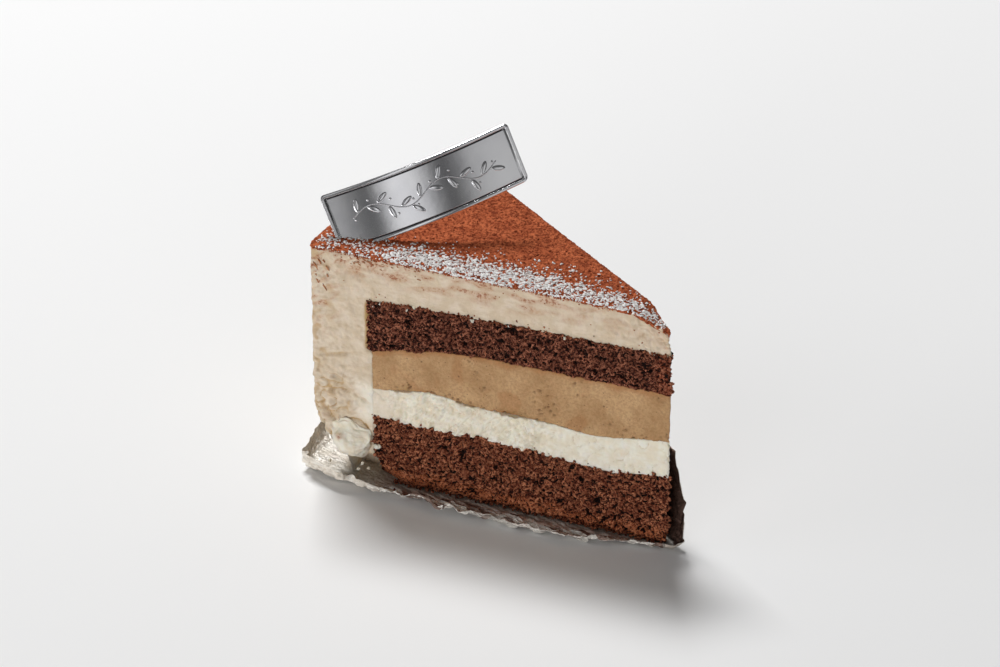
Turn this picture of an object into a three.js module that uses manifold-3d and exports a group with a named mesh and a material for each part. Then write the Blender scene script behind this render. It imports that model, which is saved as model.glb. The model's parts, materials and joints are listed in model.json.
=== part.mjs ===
// One slice of a layered chocolate and coffee cream cake, standing on its crinkled foil sheet.
// Millimetres, +Z up. The slice is a tenth of an 18 cm round cake: its tip, the axis of the whole
// cake, points to +X and its rim to -X. The two cut faces lie either side of the XZ plane, and the
// one at -Y is the cut that is usually shown. The origin is on the ground, in the middle of the
// object's plan.
import * as THREE from 'three';
import { mergeVertices } from 'three/addons/utils/BufferGeometryUtils.js';
import Module from 'manifold-3d';

const wasm = await Module();
wasm.setup();

// ---------------------------------------------------------------- driving dimensions
const CAKE_RADIUS = 90.4;
const INSERT_RADIUS = 76.3; // the upper sponge disc inside the cream coat
const LOWER_INSERT_RADIUS = 75.1; // the mousse, the lower cream and the base sponge under it
const SLICES_PER_CAKE = 10;
const FOIL_THICKNESS = 0.5;
const PIECE_GAP = 0.3; // between pieces that touch
const CAKE_FLOOR = FOIL_THICKNESS + PIECE_GAP;
const CREAM_TOP = CAKE_FLOOR + 59; // upper face of the cream, under the cocoa
const COCOA_TOP = 0.75; // above the cream
const TIP_PLACE = [46.747, 0.356]; // puts the middle of the plan at the origin
const TIP_ROUNDING = 0.3;

const PLAQUE = {
  length: 47,
  width: 14.4,
  thickness: 0.6,
  rim: 1.1, // width of the raised border
  rimRise: 0.25,
  bendRadius: 120,
  centre: [-69.9, -6.3, 71.7], // from the tip of the slice at ground level
  facing: THREE.MathUtils.degToRad(41.3), // turned towards the shown cut
  lean: THREE.MathUtils.degToRad(24), // back from upright
  roll: THREE.MathUtils.degToRad(21.6), // one corner pushed down into the cream
};

// Heights of the boundaries between layers, as [distance from the tip, height above the cake's
// floor]: the layers sag towards the rim, where the disc was pressed into the cream.
const BASE_SPONGE_TOP = [[0, 17.6], [17, 15.7], [34, 16.7], [48, 17.3], [62, 16.5], [76, 16.8]];
const FILLING_TOP = [[0, 27.0], [20, 24.6], [36, 25.5], [48, 25.2], [60, 26.3], [76, 24.2]];
const MOUSSE_TOP = [[0, 39.6], [26, 39.1], [44, 38.9], [56, 38.1], [66, 36.4], [76, 34.3]];
const UPPER_SPONGE_TOP = [[0, 49.5], [26, 49.2], [48, 48.8], [62, 48.5], [76, 47.6]];

// ---------------------------------------------------------------- small helpers
const HALF_ANGLE = Math.PI / SLICES_PER_CAKE;
const { lerp, smoothstep, clamp } = THREE.MathUtils;

// A smooth height along the slice through a few measured ones.
function profile(points) {
  return (distance) => {
    const last = points.length - 1;
    const next = points.findIndex(([d]) => d > distance);
    if (next === 0) return points[0][1];
    if (next < 0) return points[last][1];
    const [d0, h0] = points[next - 1];
    const [d1, h1] = points[next];
    return lerp(h0, h1, smoothstep(distance, d0, d1));
  };
}

// Repeatable value noise, from -1 to 1, that changes smoothly over one unit.
function latticeValue(i, j, k) {
  let h = Math.imul(i, 374761393) ^ Math.imul(j, 668265263) ^ Math.imul(k, 1274126177);
  h = Math.imul(h ^ (h >>> 13), 1103515245);
  h ^= h >>> 16;
  return (h >>> 0) / 2147483648 - 1;
}

function noise(x, y, z) {
  const [i, j, k] = [Math.floor(x), Math.floor(y), Math.floor(z)];
  const [u, v, w] = [smoothstep(x - i, 0, 1), smoothstep(y - j, 0, 1), smoothstep(z - k, 0, 1)];
  const row = (dj, dk) => lerp(latticeValue(i, j + dj, k + dk), latticeValue(i + 1, j + dj, k + dk), u);
  return lerp(lerp(row(0, 0), row(1, 0), v), lerp(row(0, 1), row(1, 1), v), w);
}

// ---------------------------------------------------------------- the slice's outline in plan
// A counterclockwise ring of stations: along the near cut from rim to tip, round the tip, back
// along the far cut, and round the rim. Each holds its place, its outward normal, its side, and
// how far along that side it is: mm from the tip on a cut, and -1 at the near end to 1 at the far
// end round the tip and the rim. Nearness is 1 on the near cut and 0 on the far one, and rimward
// grows from 0 to 1 towards the rim.
const RIM_BLEND = 0.7; // the part of a cut's length from which the rim's shape is felt

function sliceOutline(radius, { cutSteps, rimSteps, tipSteps = 2, cutOffset = 0 }) {
  const [c, s] = [Math.cos(HALF_ANGLE), Math.sin(HALF_ANGLE)];
  const apexX = cutOffset / s;
  const cutEnd = radius + apexX * c;
  const stations = [];
  const addCut = (side, fractions) => {
    for (const fraction of fractions) {
      const along = lerp(TIP_ROUNDING / Math.tan(HALF_ANGLE), cutEnd, fraction);
      const nearness = side < 0 ? 1 : 0;
      const rimward = smoothstep(along, RIM_BLEND * cutEnd, cutEnd);
      const place = { x: apexX - c * along, y: side * s * along, nx: s, ny: side * c };
      stations.push({ ...place, side: side < 0 ? 'near' : 'far', along, nearness, rimward });
    }
  };
  const fromRim = Array.from({ length: cutSteps + 1 }, (_, i) => 1 - i / cutSteps);
  addCut(-1, fromRim);
  const roundingX = apexX - TIP_ROUNDING / s;
  for (let i = 0; i <= tipSteps; i++) {
    const along = (2 * i) / tipSteps - 1;
    const angle = along * 0.75 * (Math.PI / 2 - HALF_ANGLE);
    const [nx, ny] = [Math.cos(angle), Math.sin(angle)];
    const place = { x: roundingX + nx * TIP_ROUNDING, y: ny * TIP_ROUNDING, nx, ny };
    stations.push({ ...place, side: 'tip', along, nearness: (1 - along) / 2, rimward: 0 });
  }
  addCut(1, fromRim.reverse());
  const spread = Math.asin(clamp(stations[0].y / -radius, -1, 1));
  for (let i = 1; i < rimSteps; i++) {
    const along = 1 - (2 * i) / rimSteps;
    const angle = Math.PI - along * spread;
    const [nx, ny] = [Math.cos(angle), Math.sin(angle)];
    const place = { x: nx * radius, y: ny * radius, nx, ny };
    stations.push({ ...place, side: 'rim', along, nearness: smoothstep(-along, 0, 1), rimward: 1 });
  }
  return stations;
}

// ---------------------------------------------------------------- solids from rings of points
// Rings of equally many points, from the bottom centre up the outside to the top centre, become
// one closed solid. Each ring is a list of [x, y, z], and both ends are closed by a single point.
function solidFromRings(bottomCentre, rings, topCentre) {
  const count = rings[0].length;
  const positions = [bottomCentre, ...rings.flat(), topCentre].flat();
  const indices = [];
  const at = (ring, i) => 1 + ring * count + (i % count);
  const last = rings.length - 1;
  for (let i = 0; i < count; i++) {
    indices.push(0, at(0, i + 1), at(0, i));
    for (let ring = 0; ring < last; ring++) {
      indices.push(at(ring, i), at(ring, i + 1), at(ring + 1, i + 1));
      indices.push(at(ring, i), at(ring + 1, i + 1), at(ring + 1, i));
    }
    indices.push(1 + rings.length * count, at(last, i), at(last, i + 1));
  }
  const geometry = new THREE.BufferGeometry();
  geometry.setAttribute('position', new THREE.Float32BufferAttribute(positions, 3));
  geometry.setIndex(indices);
  return geometry;
}

// A layer of the slice between two height functions of plan position. The relief of its sides says
// how far each point stands out of its side, how far it is drawn in from the rim, and how far it
// has slumped back from the tip. Cap rings shrink the outline towards the middle of the slice.
const PLAIN_CAP = [0.72, 0.36];
const TOP_CAP = [0.95, 0.88, 0.75, 0.4]; // follows the dip at the tip
const SLICE_MIDDLE = [-0.66 * CAKE_RADIUS, 0];

function layerSolid({ stations, rows, floor, ceiling, relief, cap = PLAIN_CAP }) {
  const sideRing = (row) =>
    stations.map((station) => {
      const z = lerp(floor(station.x, station.y), ceiling(station.x, station.y), row / rows);
      const { out = 0, tuck = 0, back = 0 } = relief(station, z);
      const keep = 1 - (tuck * station.rimward) / CAKE_RADIUS;
      return [station.x * keep + station.nx * out - back, station.y * keep + station.ny * out, z];
    });
  const capRing = (outer, scale, height) =>
    outer.map(([ox, oy]) => {
      const [x, y] = [lerp(SLICE_MIDDLE[0], ox, scale), lerp(SLICE_MIDDLE[1], oy, scale)];
      return [x, y, height(x, y)];
    });
  const sides = Array.from({ length: rows + 1 }, (_, row) => sideRing(row));
  const lower = cap.map((scale) => capRing(sides[0], scale, floor)).reverse();
  const upper = cap.map((scale) => capRing(sides[rows], scale, ceiling));
  const [mx, my] = SLICE_MIDDLE;
  return solidFromRings(
    [mx, my, floor(mx, my)],
    [...lower, ...sides, ...upper],
    [mx, my, ceiling(mx, my)],
  );
}

const heightAbove = (points, lift = 0) => {
  const height = profile(points);
  return (x, y) => CAKE_FLOOR + height(Math.hypot(x, y)) + lift;
};
const flat = (z) => () => z;

// ---------------------------------------------------------------- booleans
function toManifold(geometry) {
  const bare = new THREE.BufferGeometry();
  bare.setAttribute('position', geometry.getAttribute('position'));
  bare.setIndex(geometry.getIndex());
  const merged = mergeVertices(bare, 1e-4);
  const vertProperties = merged.getAttribute('position').array;
  const triVerts = new Uint32Array(merged.getIndex().array);
  return new wasm.Manifold(new wasm.Mesh({ numProp: 3, vertProperties, triVerts }));
}

function toGeometry(manifold) {
  const mesh = manifold.getMesh();
  const geometry = new THREE.BufferGeometry();
  geometry.setAttribute('position', new THREE.Float32BufferAttribute(mesh.vertProperties, 3));
  geometry.setIndex(Array.from(mesh.triVerts));
  return geometry;
}

// The largest piece, without scraps that a cut leaves loose.
function mainBody(manifold) {
  const bodies = manifold.decompose();
  return bodies.reduce((best, body) => (body.volume() > best.volume() ? body : best));
}

// ---------------------------------------------------------------- how each surface is broken up
const isCut = (station) => station.side !== 'rim';

// Torn chocolate sponge: crags of a few millimetres.
function spongeRelief(station, z) {
  if (!isCut(station)) return {};
  const crags = 0.55 * noise(station.x / 2.3, station.y / 2.3 + 40, z / 2.1);
  const lumps = 0.35 * noise(station.x / 6, station.y / 6, z / 5 + 9);
  return { out: crags + lumps - 0.1 };
}

// The base sponge's lower edge is worn back beside the rim of the near cut.
const WORN_CORNER = { height: 6.2, depth: 11 };

function wornBaseRelief(station, z) {
  const below = 1 - clamp((z - CAKE_FLOOR) / WORN_CORNER.height, 0, 1);
  const tuck = station.nearness * WORN_CORNER.depth * Math.pow(below, 1.6);
  return { ...spongeRelief(station, z), tuck };
}

// Mousse is cut almost smooth.
function mousseRelief(station, z) {
  return isCut(station) ? { out: 0.15 * noise(station.x / 5, station.y / 5, z / 4) } : {};
}

// The lower cream drags under the knife into upright folds.
function fillingRelief(station, z) {
  return isCut(station) ? { out: 0.45 * noise(station.along / 3.1, 5, z / 9) - 0.1 } : {};
}

// The coat: low spatula waves on the rim, drag marks on the cuts, a tip that has slumped back,
// and a foot that curves in above the foil, most of all beside the near cut.
const TIP_SLUMP = { depth: 2.6, reach: 12, from: 49, to: 59.5 };
const FOOT = { height: 17, nearTuck: 9, rimTuck: 4 };
const UNDERCUT = { depth: 2.4, from: 74, height: 4 }; // the hollow under the lump at the foot

function coatRelief(station, z) {
  const above = z - CAKE_FLOOR;
  const rise = clamp(above / FOOT.height, 0, 1);
  const tuck = lerp(FOOT.rimTuck, FOOT.nearTuck, station.nearness) * (1 - rise * rise);
  if (!isCut(station)) return { out: 0.3 * noise(station.along * 4, 2, above / 7) - 0.1, tuck };
  const tipward = 1 - smoothstep(Math.hypot(station.x, station.y), 0, TIP_SLUMP.reach);
  const slumped = tipward * smoothstep(above, TIP_SLUMP.from, TIP_SLUMP.to);
  const isUnder = station.side === 'near' && station.along > UNDERCUT.from;
  const lowness = 1 - smoothstep(above, UNDERCUT.height / 2, UNDERCUT.height);
  const undercut = isUnder ? UNDERCUT.depth * lowness : 0;
  const drag = 0.3 * noise(station.along / 9, 3, above / 3.5) - 0.05;
  return { out: drag - undercut, tuck, back: TIP_SLUMP.depth * slumped };
}

// The cream's upper face: nearly level, and dipping over the slumped tip.
const TIP_DIP = { depth: 3, reach: 12 };

function creamTop(x, y) {
  const dip = TIP_DIP.depth * Math.pow(1 - smoothstep(Math.hypot(x, y), 0, TIP_DIP.reach), 1.5);
  return CREAM_TOP + 0.25 * noise(x / 14, y / 14, 0) - dip;
}

// ---------------------------------------------------------------- layers inside the coat
const insertOutline = (radius) => sliceOutline(radius - PIECE_GAP, { cutSteps: 28, rimSteps: 8 });

const layers = {
  sponge_base: {
    colour: 0x6b3a26,
    roughness: 0.95,
    stations: insertOutline(LOWER_INSERT_RADIUS),
    rows: 6,
    floor: flat(CAKE_FLOOR),
    ceiling: heightAbove(BASE_SPONGE_TOP),
    relief: wornBaseRelief,
  },
  cream_filling: {
    colour: 0xe8dcc2,
    roughness: 0.6,
    stations: insertOutline(LOWER_INSERT_RADIUS),
    rows: 3,
    floor: heightAbove(BASE_SPONGE_TOP, PIECE_GAP),
    ceiling: heightAbove(FILLING_TOP),
    relief: fillingRelief,
  },
  coffee_mousse: {
    colour: 0xa9824f,
    roughness: 0.7,
    stations: insertOutline(LOWER_INSERT_RADIUS),
    rows: 3,
    floor: heightAbove(FILLING_TOP, PIECE_GAP),
    ceiling: heightAbove(MOUSSE_TOP),
    relief: mousseRelief,
  },
  sponge_upper: {
    colour: 0x58301f,
    roughness: 0.95,
    stations: insertOutline(INSERT_RADIUS),
    rows: 4,
    floor: heightAbove(MOUSSE_TOP, PIECE_GAP),
    ceiling: heightAbove(UPPER_SPONGE_TOP),
    relief: spongeRelief,
  },
};

// ---------------------------------------------------------------- cream coat over top and rim
const coatOutline = sliceOutline(CAKE_RADIUS, { cutSteps: 32, rimSteps: 14 });
const CUT_CLEARANCE = 4; // how far the cutting blocks stand out past the cut faces
const BLOCK_FLOOR = -2; // and below the foil

function insertBlock(radius, floor, ceiling) {
  const stations = sliceOutline(radius, { cutSteps: 20, rimSteps: 8, cutOffset: CUT_CLEARANCE });
  return toManifold(layerSolid({ stations, rows: 1, floor, ceiling, relief: () => ({}) }));
}

function insertSpace() {
  const ledge = heightAbove(MOUSSE_TOP, PIECE_GAP / 3);
  const lower = insertBlock(LOWER_INSERT_RADIUS, flat(BLOCK_FLOOR), heightAbove(MOUSSE_TOP, PIECE_GAP));
  return lower.add(insertBlock(INSERT_RADIUS, ledge, heightAbove(UPPER_SPONGE_TOP, PIECE_GAP)));
}

// The petal of cream that was squeezed out at the foot of the near cut, beside the base sponge:
// rounded below, narrower above, and curling outwards at its lower edge.
const LUMP = { along: 79.6, height: 8, size: [4.9, 3.1, 5], out: -0.5 };

function footLump() {
  const shape = new THREE.IcosahedronGeometry(1, 5);
  const merged = mergeVertices(shape.deleteAttribute('normal').deleteAttribute('uv'), 1e-4);
  const position = merged.getAttribute('position');
  for (let i = 0; i < position.count; i++) {
    const [x, y, z] = [position.getX(i), position.getY(i), position.getZ(i)];
    const swell = 1 + 0.1 * noise(x * 1.6 + 3, y * 1.6, z * 1.6);
    const taper = 1 - 0.16 * z;
    const curl = 0.3 * smoothstep(-z, 0.1, 0.8);
    position.setXYZ(i, x * swell * taper, y * swell - curl, z * swell);
  }
  merged.scale(...LUMP.size);
  merged.rotateZ(HALF_ANGLE);
  const [c, s] = [Math.cos(HALF_ANGLE), Math.sin(HALF_ANGLE)];
  merged.translate(
    s * LUMP.out - c * LUMP.along,
    -c * LUMP.out - s * LUMP.along,
    CAKE_FLOOR + LUMP.height,
  );
  return toManifold(merged);
}

function creamCoat(plaqueSlot) {
  const whole = toManifold(
    layerSolid({
      stations: coatOutline,
      rows: 11,
      floor: flat(CAKE_FLOOR),
      ceiling: creamTop,
      relief: coatRelief,
      cap: TOP_CAP,
    }),
  );
  const coat = whole.add(footLump()).subtract(insertSpace()).subtract(plaqueSlot);
  return toGeometry(mainBody(coat));
}

// ---------------------------------------------------------------- cocoa on top
// A thin skin on the cream, with the same outline as the cream's upper edge.
function cocoaDusting(plaqueSlot) {
  const skin = toManifold(
    layerSolid({
      stations: coatOutline,
      rows: 1,
      floor: (x, y) => creamTop(x, y) + PIECE_GAP,
      ceiling: (x, y) => creamTop(x, y) + COCOA_TOP + 0.12 * noise(x / 2.5, y / 2.5, 7),
      relief: (station) => coatRelief(station, creamTop(station.x, station.y)),
      cap: TOP_CAP,
    }),
  );
  return toGeometry(mainBody(skin.subtract(plaqueSlot)));
}

// ---------------------------------------------------------------- metallised plaque
// A bowed strip with a raised border. Its own axes: u along it, v across it, w out of its face.
function plaqueBasis() {
  const { facing, lean, roll } = PLAQUE;
  const right = new THREE.Vector3(Math.cos(facing), Math.sin(facing), 0);
  const towards = new THREE.Vector3(Math.sin(facing), -Math.cos(facing), 0);
  const up = new THREE.Vector3(0, 0, 1);
  const face = towards.clone().multiplyScalar(Math.cos(lean)).addScaledVector(up, Math.sin(lean));
  const rise = up.clone().multiplyScalar(Math.cos(lean)).addScaledVector(towards, -Math.sin(lean));
  const u = right.clone().multiplyScalar(Math.cos(roll)).addScaledVector(rise, Math.sin(roll));
  const v = rise.clone().multiplyScalar(Math.cos(roll)).addScaledVector(right, -Math.sin(roll));
  return new THREE.Matrix4().makeBasis(u, v, face).setPosition(...PLAQUE.centre);
}

function plaqueSolid({ margin = 0, uSteps = 22 } = {}) {
  const { length, width, thickness, rim, rimRise, bendRadius } = PLAQUE;
  const [halfU, halfV] = [length / 2 + margin, width / 2 + margin];
  const slope = 0.25; // width of the step down from the border
  const steps = (half, count) => {
    const inner = half - rim - slope;
    const middle = Array.from({ length: count + 1 }, (_, i) => lerp(-inner, inner, i / count));
    return [-half, -half + rim, ...middle, half - rim, half];
  };
  const us = steps(halfU, uSteps);
  const vs = steps(halfV, 2);
  const onBorder = (value, half) => Math.abs(value) >= half - rim - 1e-6;
  const point = (u, v, w) => {
    const angle = u / bendRadius;
    const radius = bendRadius + w;
    return [radius * Math.sin(angle), v, radius * Math.cos(angle) - bendRadius];
  };
  const positions = [];
  for (const front of [false, true]) {
    for (const v of vs) {
      for (const u of us) {
        const raised = onBorder(u, halfU) || onBorder(v, halfV) ? rimRise : 0;
        const w = front ? thickness / 2 + raised + margin : -thickness / 2 - margin;
        positions.push(...point(u, v, w));
      }
    }
  }
  const [nu, nv] = [us.length, vs.length];
  const at = (front, i, j) => (front ? nu * nv : 0) + j * nu + i;
  const indices = [];
  const quad = (a, b, c, d) => indices.push(a, b, c, a, c, d);
  for (let j = 0; j < nv - 1; j++) {
    for (let i = 0; i < nu - 1; i++) {
      quad(at(true, i, j), at(true, i + 1, j), at(true, i + 1, j + 1), at(true, i, j + 1));
      quad(at(false, i, j), at(false, i, j + 1), at(false, i + 1, j + 1), at(false, i + 1, j));
    }
  }
  for (let i = 0; i < nu - 1; i++) {
    quad(at(false, i, 0), at(false, i + 1, 0), at(true, i + 1, 0), at(true, i, 0));
    quad(at(false, i + 1, nv - 1), at(false, i, nv - 1), at(true, i, nv - 1), at(true, i + 1, nv - 1));
  }
  for (let j = 0; j < nv - 1; j++) {
    quad(at(false, nu - 1, j), at(false, nu - 1, j + 1), at(true, nu - 1, j + 1), at(true, nu - 1, j));
    quad(at(false, 0, j + 1), at(false, 0, j), at(true, 0, j), at(true, 0, j + 1));
  }
  const geometry = new THREE.BufferGeometry();
  geometry.setAttribute('position', new THREE.Float32BufferAttribute(positions, 3));
  geometry.setIndex(indices);
  return geometry.applyMatrix4(plaqueBasis());
}

// ---------------------------------------------------------------- foil sheet
// Flat under the cake, then a crumpled lip in front, a curled rim behind the coat, and a wavy
// wall folded up along the far cut. The edge's reach is measured out from the fold at the cake's
// foot and its lift up from the ground: by the distance from the tip on a cut, and from -1 at the
// near end to 1 at the far end round the tip and the rim.
const FRONT_REACH = profile([[0, 0.5], [6, 1.9], [15, 4.9], [24, 7.4], [50, 7.4], [80, 6.2], [90, 4.3]]);
const FRONT_LIFT = profile([[0, 1], [20, 1.6], [60, 1.6], [90, 4.2]]);
const TIP_REACH = profile([[-1, 0.9], [-0.2, 3], [0.4, 4.6], [1, 3.4]]);
const TIP_LIFT = profile([[-1, 1.1], [0, 2.4], [0.5, 4.5], [1, 11]]);
const WALL_LIFT = profile([[0, 14], [3, 20], [6, 23], [13, 25], [55, 23.5], [91, 11]]);
const WALL_REACH = 2.6;
const RIM_REACH = profile([[-1, 3.6], [-0.3, 5.6], [1, 5.6]]);
const RIM_LIFT = 5;
const FOIL_CORNER = 12; // length over which a corner at the rim is rounded
const FOLD_OUT = 1.1; // the fold lies this far outside the cake

function foilEdge(station) {
  const { side, along } = station;
  const ripple = noise(station.x / 3.7, station.y / 3.7, 3);
  const swell = noise(station.x / 9, station.y / 9, 6);
  if (side === 'rim') {
    const lift = lerp(RIM_LIFT, WALL_LIFT(CAKE_RADIUS), smoothstep(along, 0.2, 1));
    return { reach: RIM_REACH(along) + 0.5 * ripple, lift: lift + 0.5 * swell };
  }
  if (side === 'near') {
    const loose = smoothstep(along, 4, 30);
    const reach = FRONT_REACH(along) + loose * (0.8 * ripple + 0.7 * swell);
    return { reach, lift: FRONT_LIFT(along) + loose * 0.8 * Math.abs(ripple) };
  }
  if (side === 'tip') return { reach: TIP_REACH(along), lift: TIP_LIFT(along) };
  return { reach: WALL_REACH + 0.8 * ripple + 0.9 * swell, lift: WALL_LIFT(along) + 0.9 * swell };
}

// Straight out of a side, turning to the diagonal where a cut meets the rim.
function foilDirection({ x, y, nx, ny, side, along }) {
  if (side === 'tip') return [nx, ny];
  const halfRim = CAKE_RADIUS * HALF_ANGLE;
  const isRim = side === 'rim';
  const fromCorner = isRim ? (1 - Math.abs(along)) * halfRim : CAKE_RADIUS - along;
  const turned = 0.5 * (1 - smoothstep(fromCorner, 0, FOIL_CORNER));
  const farOrNear = Math.sign(y);
  const other = isRim
    ? [Math.sin(HALF_ANGLE), farOrNear * Math.cos(HALF_ANGLE)]
    : [-Math.cos(HALF_ANGLE), farOrNear * Math.sin(HALF_ANGLE)];
  const [dx, dy] = [lerp(nx, other[0], turned), lerp(ny, other[1], turned)];
  const length = Math.hypot(dx, dy);
  return [dx / length, dy / length];
}

// The foil's upper face, in rings from the fold at the cake's foot out to the edge.
const FOIL_RING_FRACTIONS = [0, 0.3, 0.55, 0.8, 1];

function foilSheet() {
  const stations = sliceOutline(CAKE_RADIUS, { cutSteps: 36, rimSteps: 22, tipSteps: 5 });
  const edges = stations.map((station) => ({ ...foilEdge(station), direction: foilDirection(station) }));
  const wallRing = (fraction) =>
    stations.map((station, i) => {
      const { reach, lift, direction } = edges[i];
      const quarter = (fraction * Math.PI) / 2;
      const crumple = 0.35 * noise(station.x / 4, station.y / 4, fraction * 3) * Math.sin(quarter);
      const out = FOLD_OUT + reach * Math.sin(quarter) + crumple * 1.5;
      const z = FOIL_THICKNESS + lift * (1 - Math.cos(quarter)) + Math.abs(crumple);
      return new THREE.Vector3(station.x + direction[0] * out, station.y + direction[1] * out, z);
    });
  const flatRing = (scale) =>
    stations.map(
      ({ x, y }) => new THREE.Vector3(lerp(SLICE_MIDDLE[0], x, scale), y * scale, FOIL_THICKNESS),
    );
  const upper = [...FOIL_RING_FRACTIONS.map(wallRing).reverse(), flatRing(0.94), flatRing(0.5)];
  const count = stations.length;
  const normalAt = (ring, i) => {
    const inner = upper[Math.min(ring + 1, upper.length - 1)][i];
    const across = new THREE.Vector3().subVectors(upper[Math.max(ring - 1, 0)][i], inner);
    const [next, previous] = [upper[ring][(i + 1) % count], upper[ring][(i + count - 1) % count]];
    return across.cross(new THREE.Vector3().subVectors(next, previous)).normalize();
  };
  const lower = upper.map((ring, r) =>
    ring.map((point, i) => {
      const isFlat = r >= FOIL_RING_FRACTIONS.length - 1;
      const normal = isFlat ? new THREE.Vector3(0, 0, 1) : normalAt(r, i);
      const below = point.clone().addScaledVector(normal, -FOIL_THICKNESS);
      below.z = Math.max(below.z, 0);
      return below;
    }),
  );
  const asLists = (rings) => rings.map((ring) => ring.map((point) => point.toArray()));
  const [mx, my] = SLICE_MIDDLE;
  return solidFromRings(
    [mx, my, 0],
    [...asLists(lower).reverse(), ...asLists(upper)],
    [mx, my, FOIL_THICKNESS],
  );
}

// ---------------------------------------------------------------- assembly
const slice = new THREE.Group();
slice.position.set(...TIP_PLACE, 0);

function addPiece(name, geometry, { colour, roughness, metalness = 0 }) {
  const material = new THREE.MeshStandardMaterial({ color: colour, roughness, metalness, flatShading: true });
  const mesh = new THREE.Mesh(geometry, material);
  mesh.name = name;
  slice.add(mesh);
}

const plaqueSlot = toManifold(plaqueSolid({ margin: PIECE_GAP }));

addPiece('foil_sheet', foilSheet(), { colour: 0xb9b2a6, roughness: 0.3, metalness: 0.9 });
for (const [name, { colour, roughness, ...shape }] of Object.entries(layers)) {
  addPiece(name, layerSolid(shape), { colour, roughness });
}
addPiece('cream_coat', creamCoat(plaqueSlot), { colour: 0xe6dac3, roughness: 0.6 });
addPiece('cocoa_dusting', cocoaDusting(plaqueSlot), { colour: 0x8a4526, roughness: 1 });
addPiece('plaque', plaqueSolid(), { colour: 0xa8a8ab, roughness: 0.3, metalness: 0.9 });

export default slice;
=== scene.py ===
# %% [markdown]
# # A slice of chocolate and coffee cream cake
# The slice is a tenth of a round layer cake, with its tip towards +X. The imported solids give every
# piece its place and size. This file models each one again with the surface that a knife, a
# spatula and a sieve leave behind, and then gives it a finish.

# %% Load the frame
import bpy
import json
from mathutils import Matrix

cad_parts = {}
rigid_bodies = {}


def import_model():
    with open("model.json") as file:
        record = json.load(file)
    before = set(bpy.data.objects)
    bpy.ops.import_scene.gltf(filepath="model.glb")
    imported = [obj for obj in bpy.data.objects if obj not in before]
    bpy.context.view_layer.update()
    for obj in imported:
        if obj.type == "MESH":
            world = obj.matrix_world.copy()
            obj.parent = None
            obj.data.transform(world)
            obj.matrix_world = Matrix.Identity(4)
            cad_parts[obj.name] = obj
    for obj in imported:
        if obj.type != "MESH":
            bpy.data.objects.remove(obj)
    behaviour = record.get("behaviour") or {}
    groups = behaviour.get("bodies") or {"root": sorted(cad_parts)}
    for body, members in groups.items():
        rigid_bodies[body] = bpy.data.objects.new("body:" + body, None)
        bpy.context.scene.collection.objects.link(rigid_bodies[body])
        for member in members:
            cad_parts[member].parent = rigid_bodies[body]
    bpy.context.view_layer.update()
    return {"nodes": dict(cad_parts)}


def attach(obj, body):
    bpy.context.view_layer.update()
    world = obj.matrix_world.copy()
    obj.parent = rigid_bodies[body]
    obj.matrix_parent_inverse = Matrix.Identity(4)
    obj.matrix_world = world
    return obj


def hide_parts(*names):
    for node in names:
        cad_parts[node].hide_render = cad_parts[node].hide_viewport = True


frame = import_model()
print("solids:", ", ".join(sorted(frame["nodes"])))

# %% [markdown]
# ## Measures
# All shapes are worked out in millimetres from the tip of the slice at ground level, because that
# is how a baker would measure them. One matrix carries finished meshes into the frame, which is in
# metres and has its origin in the middle of the slice.

# %% Measures and small helpers
import json
import math
import random
from collections import namedtuple

import bmesh
import bpy
from mathutils import Matrix, Vector, noise

noise.seed_set(7)  # vector noise draws its offsets from this seed, and from the clock without one

CAKE_RADIUS = 90.4
INSERT_RADIUS = 76.3  # the upper sponge disc inside the cream coat
LOWER_INSERT_RADIUS = 75.1  # the mousse, the lower cream and the base sponge under it
CAKE_FLOOR = 0.8
CREAM_TOP = CAKE_FLOOR + 59
COCOA_TOP = 0.6  # above the cream
TIP_ROUNDING = 0.3
HALF_ANGLE = math.pi / 10
COS, SIN = math.cos(HALF_ANGLE), math.sin(HALF_ANGLE)
NEAR_OUT = Vector((SIN, -COS, 0))  # straight out of the near cut
NEAR_AWAY = Vector((-COS, -SIN, 0))  # along the near cut, from the tip towards the rim
SLICE_MIDDLE = Vector((-0.66 * CAKE_RADIUS, 0))
TIP_PLACE = Vector((46.747, 0.356, 0))  # of the tip in the frame
TO_FRAME = Matrix.Scale(0.001, 4) @ Matrix.Translation(TIP_PLACE)


def lerp(a, b, t):
    return a + (b - a) * t


def ease(value, start, end):
    """Rises smoothly from 0 at start to 1 at end."""
    t = min(max((value - start) / (end - start), 0), 1)
    return t * t * (3 - 2 * t)


def profile(points):
    """A smooth curve through a few measured (place, height) points."""

    def height(place):
        if place <= points[0][0]:
            return points[0][1]
        for (d0, h0), (d1, h1) in zip(points, points[1:]):
            if place < d1:
                return lerp(h0, h1, ease(place, d0, d1))
        return points[-1][1]

    return height


BASE_SPONGE_TOP = profile([(0, 17.6), (17, 15.7), (34, 16.7), (48, 17.3), (62, 16.5), (76, 16.8)])
FILLING_TOP = profile([(0, 27.0), (20, 24.6), (36, 25.5), (48, 25.2), (60, 26.3), (76, 24.2)])
MOUSSE_TOP = profile([(0, 39.6), (26, 39.1), (44, 38.9), (56, 38.1), (66, 36.4), (76, 34.3)])
UPPER_SPONGE_TOP = profile([(0, 49.5), (26, 49.2), (48, 48.8), (62, 48.5), (76, 47.6)])

# %% [markdown]
# ## Stations round the slice
# Every layer of the slice has the same plan: a near cut, a rounded tip, a far cut and a curved
# rim. A station is one place on that outline with its outward direction. Walls are made by
# wrapping a flat grid round the stations, so their faces are small and even, and any relief is a
# matter of moving a vertex outwards or inwards.

# %% Stations
NEAR, TIP, FAR, RIM = "near", "tip", "far", "rim"
Station = namedtuple("Station", "side along x y nx ny")


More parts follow.
